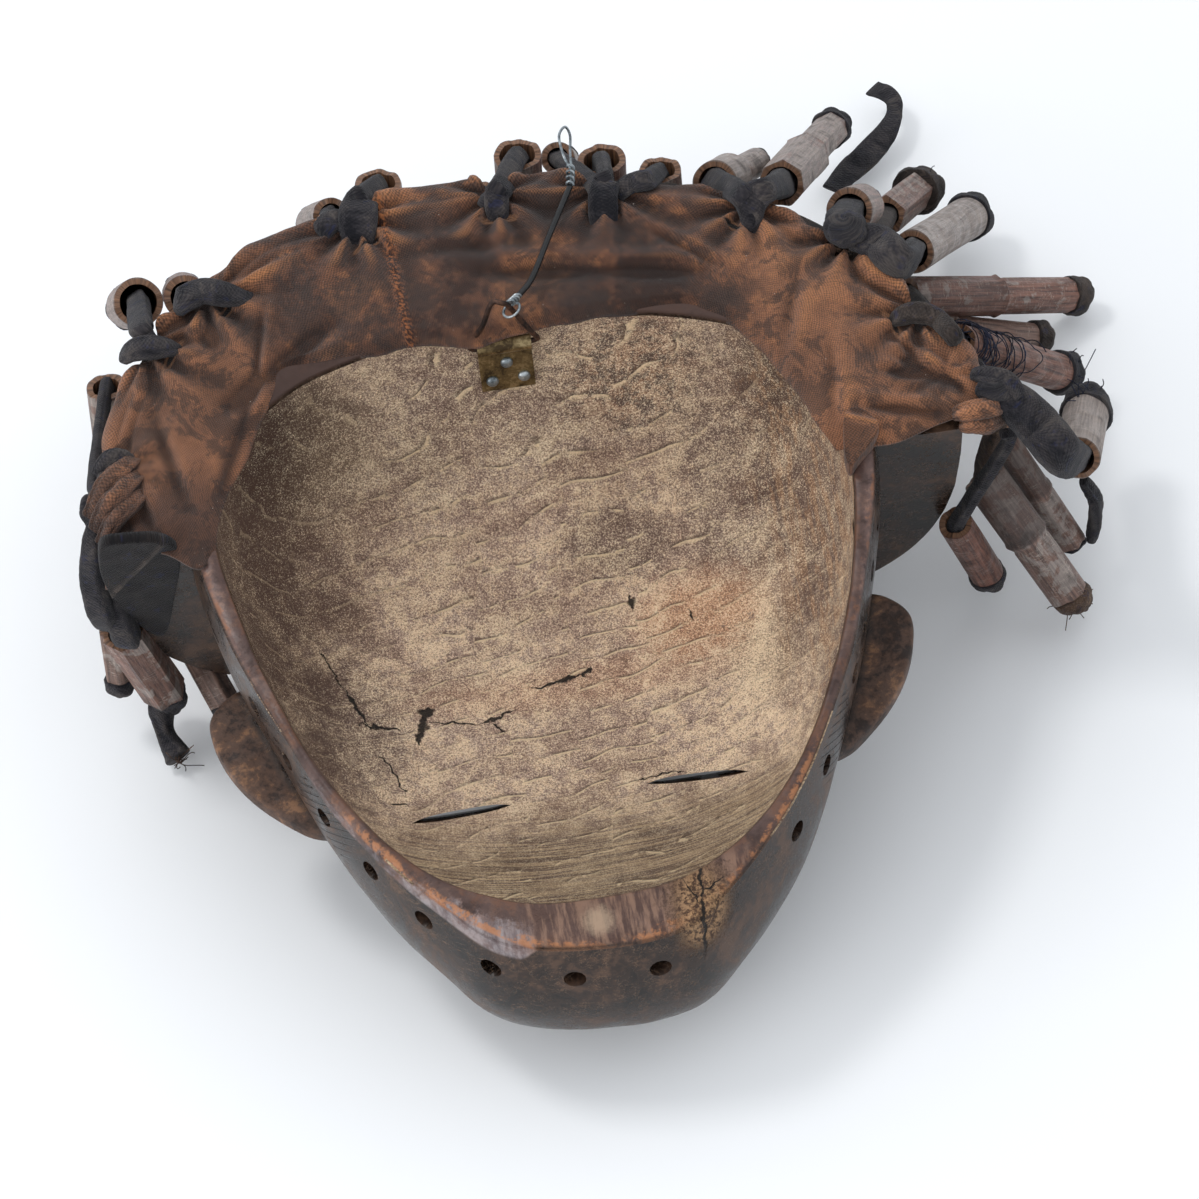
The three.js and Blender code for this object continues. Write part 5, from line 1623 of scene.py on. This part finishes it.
def ragPart(rings, seed, amount=0.35, fold=0.35):
    # One closed part, with its cloth coordinates (round, along) and its relief as attributes
    shaped, relief = wrinkled(rings, seed, amount, fold)
    points, faces = loft(shaped)
    rows, around = rings.shape[:2]
    girth = np.linalg.norm(np.roll(shaped, -1, 1) - shaped, axis=-1).sum(1, keepdims=True)
    steps = np.linalg.norm(np.diff(shaped.mean(1), axis=0), axis=-1)
    run = np.concatenate([[0], np.cumsum(steps)])[:, None]
    cloth = np.stack(
        np.broadcast_arrays(np.linspace(0, 1, around)[None] * girth, run, np.full((1, 1), seed * 11.0)), -1,
    )
    ends = [cloth[0].mean(0), cloth[-1].mean(0)]
    return points, faces, np.concatenate(
        [cloth.reshape(-1, 3), ends],
    ), np.concatenate([relief.ravel(), [0, 0]])


def ragStrip(name, material):
    # Straps, knots and loose ends on the band, then a tail into each tube and a pad on the tube's far end
    look = strips[name]
    seed = sum(map(ord, name)) % 89
    parts = []
    for number, path in enumerate(look.get("straps", [])):
        parts.append(ragPart(strapRings(path), seed + 3 + number, 0.3, 0.5))
    for middle, size, spokes in look.get("knots", []):
        parts.append(ragPart(ballRings(placed(middle), size, seed, spokes), seed, 0.2, 0.0))
    for number, path in enumerate(looseEnds.get(name, [])):
        values = np.array(path, float)
        rings = strandRings(values[:, :3], values[:, 3], values[:, 4], around=32, count=70, square=0.7)
        parts.append(ragPart(rings, seed + 41 + number, 0.5, 0.6))
    tails = dict(look.get("tails", {}))
    for tube in look.get("tubes", ()):
        tie = (look["hem"], look["place"])
        share = look.get("width", 1.0)
        underHem = ((3.2, -13, 3, 1.4), (4.4, -19, 3.2, 1.9))
        tails[tube] = [
            (*carved(edgePoint(tie, out, w)), wide * share, high)
            for out, w, wide, high in underHem
        ]
    for number, (tube, path) in enumerate(tails.items()):
        shape = tubes[tube]
        start, end, along = axes(shape["ends"])[:3]
        fill = (shape["radius"] - tubeWall - 0.7) * (0.66 if tube in openBores else 1)
        length = np.linalg.norm(end - start)
        inBore = ((0.5, 1, 0.8), (7, 0.95, 0.9), (min(18, 0.6 * length), 0.7, 0.6))
        extra = [(start + along * reach, fill * wide, fill * high) for reach, wide, high in inBore]
        parts.append(ragPart(strapRings(path, 100, extra), seed + number, 0.3, 0.3))
        parts.append(ragPart(padRings(tube, seed + number), seed + number + 7, 0.2, 0.1))
    return joinParts("rag_" + name, parts, material)


# Hanger: plate with a rolled top, nails, ring and wire, placed as in the part
hanger = dict(
    centre=(-1.5, 184, -13), slope=71, half=7.6, low=7.8, thickness=1.0,
    rollUp=9.4, rollOut=1.6, rollRadius=2.2, ringLean=77, ringRadius=0.75, coatRadius=0.85, wireRadius=0.38,
    ring=(
        (-8.6, 0.1), (0, -0.1), (8.6, 0), (9.5, 1.3), (8.4, 3.6), (5, 9.8), (2.4, 15.6), (0.6, 17.4),
        (-1.2, 17.4), (-2.8, 15.8), (-5.2, 9.6), (-8.8, 3), (-9.5, 1.2),
    ),
    run=((4, 192, 10.4), (9, 199, 7.8), (16, 213, 6.4), (24, 228, 5.9)),
    loop=(
        (25, 232.5, 6.6), (25.6, 238, 8), (26.2, 241.5, 11), (25, 242.6, 13.8), (23, 240.2, 13.2),
        (23.4, 236.4, 9.4), (24.8, 232.6, 7.4),
    ),
    nails=dict(top_nail=(0.2, 2.2), left_nail=(-4.4, -4), right_nail=(4.6, -3.6)),
    nailHead=((1.75, 0.42), (1.75, 0.75), (1.55, 1.15), (1.05, 1.45), (0.5, 1.6)),
)


def hangerPlaced(points):
    return placed(leant(points, hanger["slope"], hanger["centre"]))


def buildPlate(material):
    # Cross-section (up, out) of the sheet and of the roll at its top, drawn along x with softened ends
    turn = np.radians(np.linspace(-90, 215, 40))[:, None]
    roll = np.array([hanger["rollUp"], hanger["rollOut"]])
    around = np.hstack([np.cos(turn), np.sin(turn)])
    back, front = -0.6, -0.6 + hanger["thickness"]
    foot = -hanger["low"]
    low = [(foot + 0.2, front), (foot, front - 0.25), (foot, back + 0.25), (foot + 0.2, back)]
    inner = roll + (hanger["rollRadius"] - 0.8) * around[::-1]
    outer = roll + hanger["rollRadius"] * around
    section = np.vstack(
        [[(hanger["rollUp"] - 3, back)], outer, inner, [(hanger["rollUp"] - 3, front)], low],
    )
    middle = section.mean(0)
    rings = []
    for x, size in ((-1, 0.985), (-0.985, 1), (0.985, 1), (1, 0.985)):
        ring = middle + (section - middle) * size
        rings.append(np.column_stack([np.full(len(ring), x * hanger["half"]), ring]))
    points, faces = prismRings(np.array(rings))
    made = addMesh("brass_plate", hangerPlaced(points), faces, material)
    made.data.set_sharp_from_angle(angle=math.radians(35))
    return made


def prismRings(rings):
    # Rings joined in order, closed by one many-sided face at each end
    rows, around = rings.shape[:2]
    ends = [list(range(around))[::-1], list(range((rows - 1) * around, rows * around))]
    points = rings.reshape(-1, 3)
    return points, outward(points, ringQuads(rows, around) + ends)


def latheCap(name, profile, toWorld, material, around=28):
    # A turned shape about the local z axis, from (radius, height) pairs
    turn = directions(around)
    rings = np.array(
        [np.column_stack([r * np.cos(turn), r * np.sin(turn), np.full(around, z)]) for r, z in profile],
    )
    points, faces = loft(toWorld(rings))
    return addMesh(name, points, faces, material)


def woundThreads(tube):
    # Tangled thread round a tube: helices that wander along it and lift off it
    start, end, along, side, up = axes(tubes[tube]["ends"])
    thickness = 0.17
    length, radius = np.linalg.norm(end - start), tubes[tube]["radius"]
    made = []
    for number, turns in enumerate((4, -3, 5, -4, 2, 6, -2)):
        t = np.linspace(0, 1, 420)
        wander = 0.2 * grain(np.column_stack([t * 60, t * 0 + number * 9, t * 0]), 7, 60 + number, 2)
        where = np.clip(0.02 + (0.36 + 0.24 * math.sin(number)) * t + wander, 0.0, 0.85) * length
        lift = radius + 0.4 + 1.5 * np.abs(
            grain(np.column_stack([t * 90, t * 0, t * 0 + number * 5]), 4, 70 + number, 2),
        )
        turn = 2 * math.pi * turns * t + number
        path = start + where[:, None] * along
        path = path + (lift * np.cos(turn))[:, None] * side + (lift * np.sin(turn))[:, None] * up
        rings = strandRings(
            path, [thickness] * len(path), [thickness] * len(path), around=5, count=500, square=1.0,
        )
        points, faces = loft(rings)
        made.append((points, faces, points, np.zeros(len(points))))
    return made


def threads(name, places, material, wound=()):
    # Loose fibres: each a thin curl from a start along a direction, all points at once
    parts = list(wound)
    for start, direction, length, spread, count, thick, seed in places:
        rng = np.random.default_rng(seed)
        t = np.linspace(0, 1, 14)[None, :, None]
        heading = np.asarray(direction, float) + rng.normal(0, spread, (count, 3))
        heading = heading / np.linalg.norm(heading, axis=1, keepdims=True)
        reach = length * rng.uniform(0.5, 1.1, (count, 1, 1))
        wave = rng.normal(0, 0.22, (count, 1, 3)) * np.sin(t * rng.uniform(3, 7, (count, 1, 1)))
        wave = wave + rng.normal(0, 0.3, (count, 1, 3)) * t ** 2
        root = np.asarray(start) + rng.normal(0, 0.25 * length * min(spread, 0.6), (count, 1, 3))
        path = root + (heading[:, None] * t + wave) * reach
        path[..., 2] = np.maximum(path[..., 2], 0.4)
        along = np.gradient(path, axis=1)
        side = np.cross(along, [0.3, 0.2, 0.93])
        side = side / (np.linalg.norm(side, axis=-1, keepdims=True) + 1e-9)
        up = np.cross(along, side)
        up = up / (np.linalg.norm(up, axis=-1, keepdims=True) + 1e-9)
        turn = directions(5)
        around = np.cos(turn)[:, None] * side[:, :, None] + np.sin(turn)[:, None] * up[:, :, None]
        rings = path[:, :, None] + thick * around
        for one in rings:
            points, faces = loft(one)
            parts.append((points, faces, points, np.zeros(len(points))))
    return joinParts(name, parts, material)


def strandPiece(name, path, radius, material, around=14, count=120):
    rings = strandRings(path, [radius] * len(path), [radius] * len(path), around, count, 1.0)
    points, faces = loft(rings)
    return addMesh(name, points, faces, material)


def buildHanger():
    # Each piece with its slot, by the node that it stands for; the wire's bare ends have none of their own
    made = {"hanger_plate": (buildPlate(brassMaterial), "plate_brass")}
    head = hanger["nailHead"]
    for name, (x, y) in hanger["nails"].items():
        place = np.array([x, y, 0])
        piece = latheCap("zinc_" + name, head, lambda rings: hangerPlaced(rings + place), zincMaterial)
        made[name] = (piece, "nail_zinc")
    base = leant([0, hanger["rollUp"], hanger["rollOut"]], hanger["slope"], hanger["centre"])
    outline = np.array(hanger["ring"])
    bend = 0.5 * np.sin(np.arange(len(outline)) * 2.1)
    ring = placed(leant(np.column_stack([outline, bend]), hanger["ringLean"], base))
    ringPiece = strandPiece("iron_ring", [*ring, ring[0]], hanger["ringRadius"], rustMaterial, count=160)
    made["hanger_ring"] = (ringPiece, "ring_iron")
    hook = []
    for turn in np.radians(np.linspace(250, -20, 12)):
        out = np.array([3.3 + 2.3 * math.cos(turn), 13.7 + 1.1 * math.cos(turn), 2.5 * math.sin(turn)])
        hook.append(leant(out, hanger["ringLean"], base))
    run = hanger["run"]
    coated = strandPiece("coated_wire", placed(run), hanger["coatRadius"], coatMaterial, count=60)
    made["hanging_wire"] = (coated, "wire_coating")
    bare = [[*hook, (2.6, 190, 11.2), run[0]], [run[-1], *hanger["loop"]]]
    turns = []
    for first, last, size in ((run[0], (1.6, 189.4, 11.8), 1.0), (run[-1], (25, 233.5, 7.2), 1.0)):
        t = np.linspace(0, 1, 40)[:, None]
        wound = np.array(first) + (np.array(last) - np.array(first)) * t
        turns.append(wound + size * np.hstack([np.cos(t * 22), 0.4 * np.sin(t * 22), np.sin(t * 22)]))
    parts = []
    for path in (*bare, *turns):
        sizes = [hanger["wireRadius"]] * len(path)
        parts.append(loft(strandRings(placed(path), sizes, sizes, 8, 90, 1.0)))
    made["wire_ends"] = (joinParts("bare_wire_ends", parts, zincMaterial), "wire_coating")
    return made


for node, (piece, slot) in buildHanger().items():
    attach(piece, "root")
    if node in nodes:
        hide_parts(node)

# The loose ribbon, in the frame's millimetres: its path, its half widths along it and its half thickness
ribbonLook = dict(
    path=(
        (114, 257, 6), (121.4, 265, 6), (126.1, 268.4, 7), (130.4, 272.4, 7.5), (134, 275.6, 8.5),
        (137, 279.6, 9.5), (139.2, 284, 10), (140, 289, 10.5), (138, 293.6, 10.5), (134.6, 298, 9.5),
    ),
    widths=(3.6, 4.6, 4.9, 4.8, 4.2, 3.4, 2.8, 2.8, 3.1, 3.3), height=0.55,
)
ribbonHeights = [ribbonLook["height"]] * len(ribbonLook["path"])
ribbonRings = strandRings(
    ribbonLook["path"], ribbonLook["widths"], ribbonHeights, around=36, count=130, square=0.5,
)
ribbon = joinParts("rag_ribbon", [ragPart(ribbonRings, 5, 0.3, 0.08)], ragMaterial)
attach(ribbon, "root")
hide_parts("loose_ribbon")
print("hanger and ribbon are made")

bandPiece = buildBand(bandMaterial)
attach(bandPiece, "root")
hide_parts("cloth_band")
print("cloth band:", len(bandPiece.data.polygons), "faces")

# Flat folded cloth: an outline (u, w) or (u, v), the axis it faces and its front there, thickness, crease,
# and shine, the strength of a painted highlight along the crease
patches = dict(
    folded_corner=dict(
        outline=(
            (-118, 12), (-110, 10.5), (-102.8, 9), (-97.5, 2), (-98.5, -10), (-102.5, -28), (-107.5, -52),
            (-113.6, -43), (-117.6, -28), (-120.4, -12), (-120, 2),
        ),
        crease=((-101.5, 6.5), (-120.5, -21)), axis="v", front=134.9, thickness=2.6, shine=1.3,
    ),
    turned_lip=dict(
        outline=(
            (86.4, 142), (87.8, 145.4), (91.4, 145.2), (94.8, 142), (96, 137.4), (92.6, 133), (88.6, 129.6),
            (85.4, 125.8), (84.6, 130), (85.4, 136),
        ),
        crease=((86.6, 143), (95.2, 139)), axis="w", front=4.4, thickness=5.4, shine=3.2,
    ),
)


def clothPatch(name, material):
    # The outline filled by growing rings and rounded to its back, with a step of 1 / (1 + e^x) at the crease
    # and a painted highlight along it
    look = patches[name]
    edge = rounded(look["outline"])
    middle = edge.mean(0)
    size = np.concatenate([np.linspace(0.04, 0.97, 26), [0.99, 1, 1, 0.99, 0.9, 0.5]])
    depth = np.concatenate([np.zeros(26), [0.15, 0.35, 0.75, 0.95, 1, 1]])[:, None] * look["thickness"]
    flat = middle + (edge - middle)[None] * size[:, None, None]
    away, side, _ = lineDistance(flat[..., 0], flat[..., 1], *look["crease"])
    relief = np.where(
        depth < 0.9 * look["thickness"], 0.9 * bell(away, 1) + 0.8 / (1 + np.exp(side * 1.6)), 0.0,
    )
    depth = depth - relief + 0.4 * grain(np.concatenate([flat, flat[..., :1] * 0], -1), 7, 51, 3)
    if look["axis"] == "v":
        points = np.stack([flat[..., 0], look["front"] + depth, flat[..., 1]], -1)
    else:
        points = np.stack([flat[..., 0], flat[..., 1], look["front"] - depth], -1)
    shape, faces = loft(placed(points))
    level = np.concatenate([flat, flat[..., :1] * 0], -1).reshape(-1, 3)
    cloth = np.concatenate([level, [[*middle, 0], [*middle, 0]]])
    # Relief for the material: low over the whole patch, which darkens all of it, and raised by shine along
    # the crease as a painted highlight
    worn = np.concatenate([(look["shine"] * bell(away, 1.3) - 0.9).ravel(), [-0.9, -0.9]])
    return joinParts("band_" + name, [(shape, faces, cloth, worn)], material)


for patchName in patches:
    patchPiece = clothPatch(patchName, bandMaterial if patchName == "turned_lip" else cornerMaterial)
    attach(patchPiece, "root")

# Bunched corners of the band: (u, v, w, half width, half height) along each fold
bandFolds = dict(
    left_bunch=[
        (
            (-106, 165, 0.6, 1.8, 1), (-110, 161, 3.8, 2.6, 2), (-115.6, 155, 4.6, 3, 2.6),
            (-120.6, 149, 0, 2.4, 2.2),
        ),
        (
            (-105, 160, 0.6, 1.8, 1), (-109.6, 155, 4.2, 2.6, 2), (-114.6, 149.6, 5, 2.8, 2.4),
            (-119.6, 145, 0, 2.2, 2),
        ),
        (
            (-104.6, 154, 0.6, 1.8, 1), (-109, 149.6, 3.6, 2.4, 1.8), (-114, 145, 4.2, 2.6, 2.2),
            (-118.6, 141, -0.6, 2, 1.8),
        ),
    ],
    right_dog_ear=[
        (
            (116.5, 139.4, 1.6, 1.6, 1), (120.4, 138.8, 3.2, 2.6, 1.8), (125, 138.6, 3, 3, 2.2),
            (129, 140.4, 0.2, 2.6, 2),
        ),
        (
            (118, 136.6, 0.2, 1.6, 1), (121.4, 135.4, 1.4, 2.4, 1.6), (125.4, 135.2, 1, 2.6, 1.8),
            (129, 137.4, -1.6, 2.2, 1.6),
        ),
    ],
)
for foldName, paths in bandFolds.items():
    shaded = []
    for path in paths:
        points, faces, cloth, relief = ragPart(strapRings(path, 90), 37, 0.6, 0.7)
        height = carved(points)[:, 2]
        # The relief rises with height, so each fold takes painted shade on its underside and grows lighter
        # towards its top
        shaded.append((points, faces, cloth, relief + 2.8 * (height - height.min()) / np.ptp(height) - 2.4))
    fold = joinParts("band_" + foldName, shaded, bandMaterial)
    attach(fold, "root")

# Loose threads (millimetres in the frame): start, direction, length, spread, count, thickness, seed
navyMaterial = makeRagCloth("navy thread", (17, 20, 32), (30, 35, 54), (54, 60, 82))
brownThreadMaterial = makeRagCloth("brown thread", (40, 28, 22), (70, 50, 38), (108, 82, 62))
navyPlaces = [
    ((165, 114, 42), (0.2, 0.6, 0.6), 8, 0.7, 14, 0.16, 21),
    ((140, 232, 27), (0.3, 0.3, 0.5), 5, 0.6, 10, 0.14, 22),
]
navyPlaces += [
    ((166, 150, 18), (0.7, 0.1, 0.2), 7, 0.7, 16, 0.16, 23),
    ((131, 128, 64), (-0.2, -0.4, 0.6), 6, 0.8, 14, 0.16, 24),
]
looseTip = looseEnds["low_left_strip"][0][-1][:3]
brownPlaces = [
    ((150, 66, 12), (0.5, -0.3, 0.1), 4.5, 0.8, 70, 0.14, 31),
    (looseTip, (0.3, -0.8, -0.1), 5, 0.6, 16, 0.14, 32),
]
wound = woundThreads("thread_tube")
for threadName, places, material, extra in (
    ("navy_threads", navyPlaces, navyMaterial, wound),
    ("brown_threads", brownPlaces, brownThreadMaterial, ()),
):
    threadPiece = threads(threadName, places, material, extra)
    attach(threadPiece, "root")

for tubeName in tubes:
    tubePiece = caneTube(tubeName, caneMaterial)
    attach(tubePiece, "root")
    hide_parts(tubeName)
ragLooks = dict(jointed_strip=brownRagMaterial, long_strip=cornerMaterial, brown_strip=cornerMaterial)
for stripName in strips:
    stripPiece = ragStrip(stripName, ragLooks.get(stripName, ragMaterial))
    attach(stripPiece, "root")
    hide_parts(stripName)
print("tubes and strips:", len(tubes) + len(strips), "pieces")
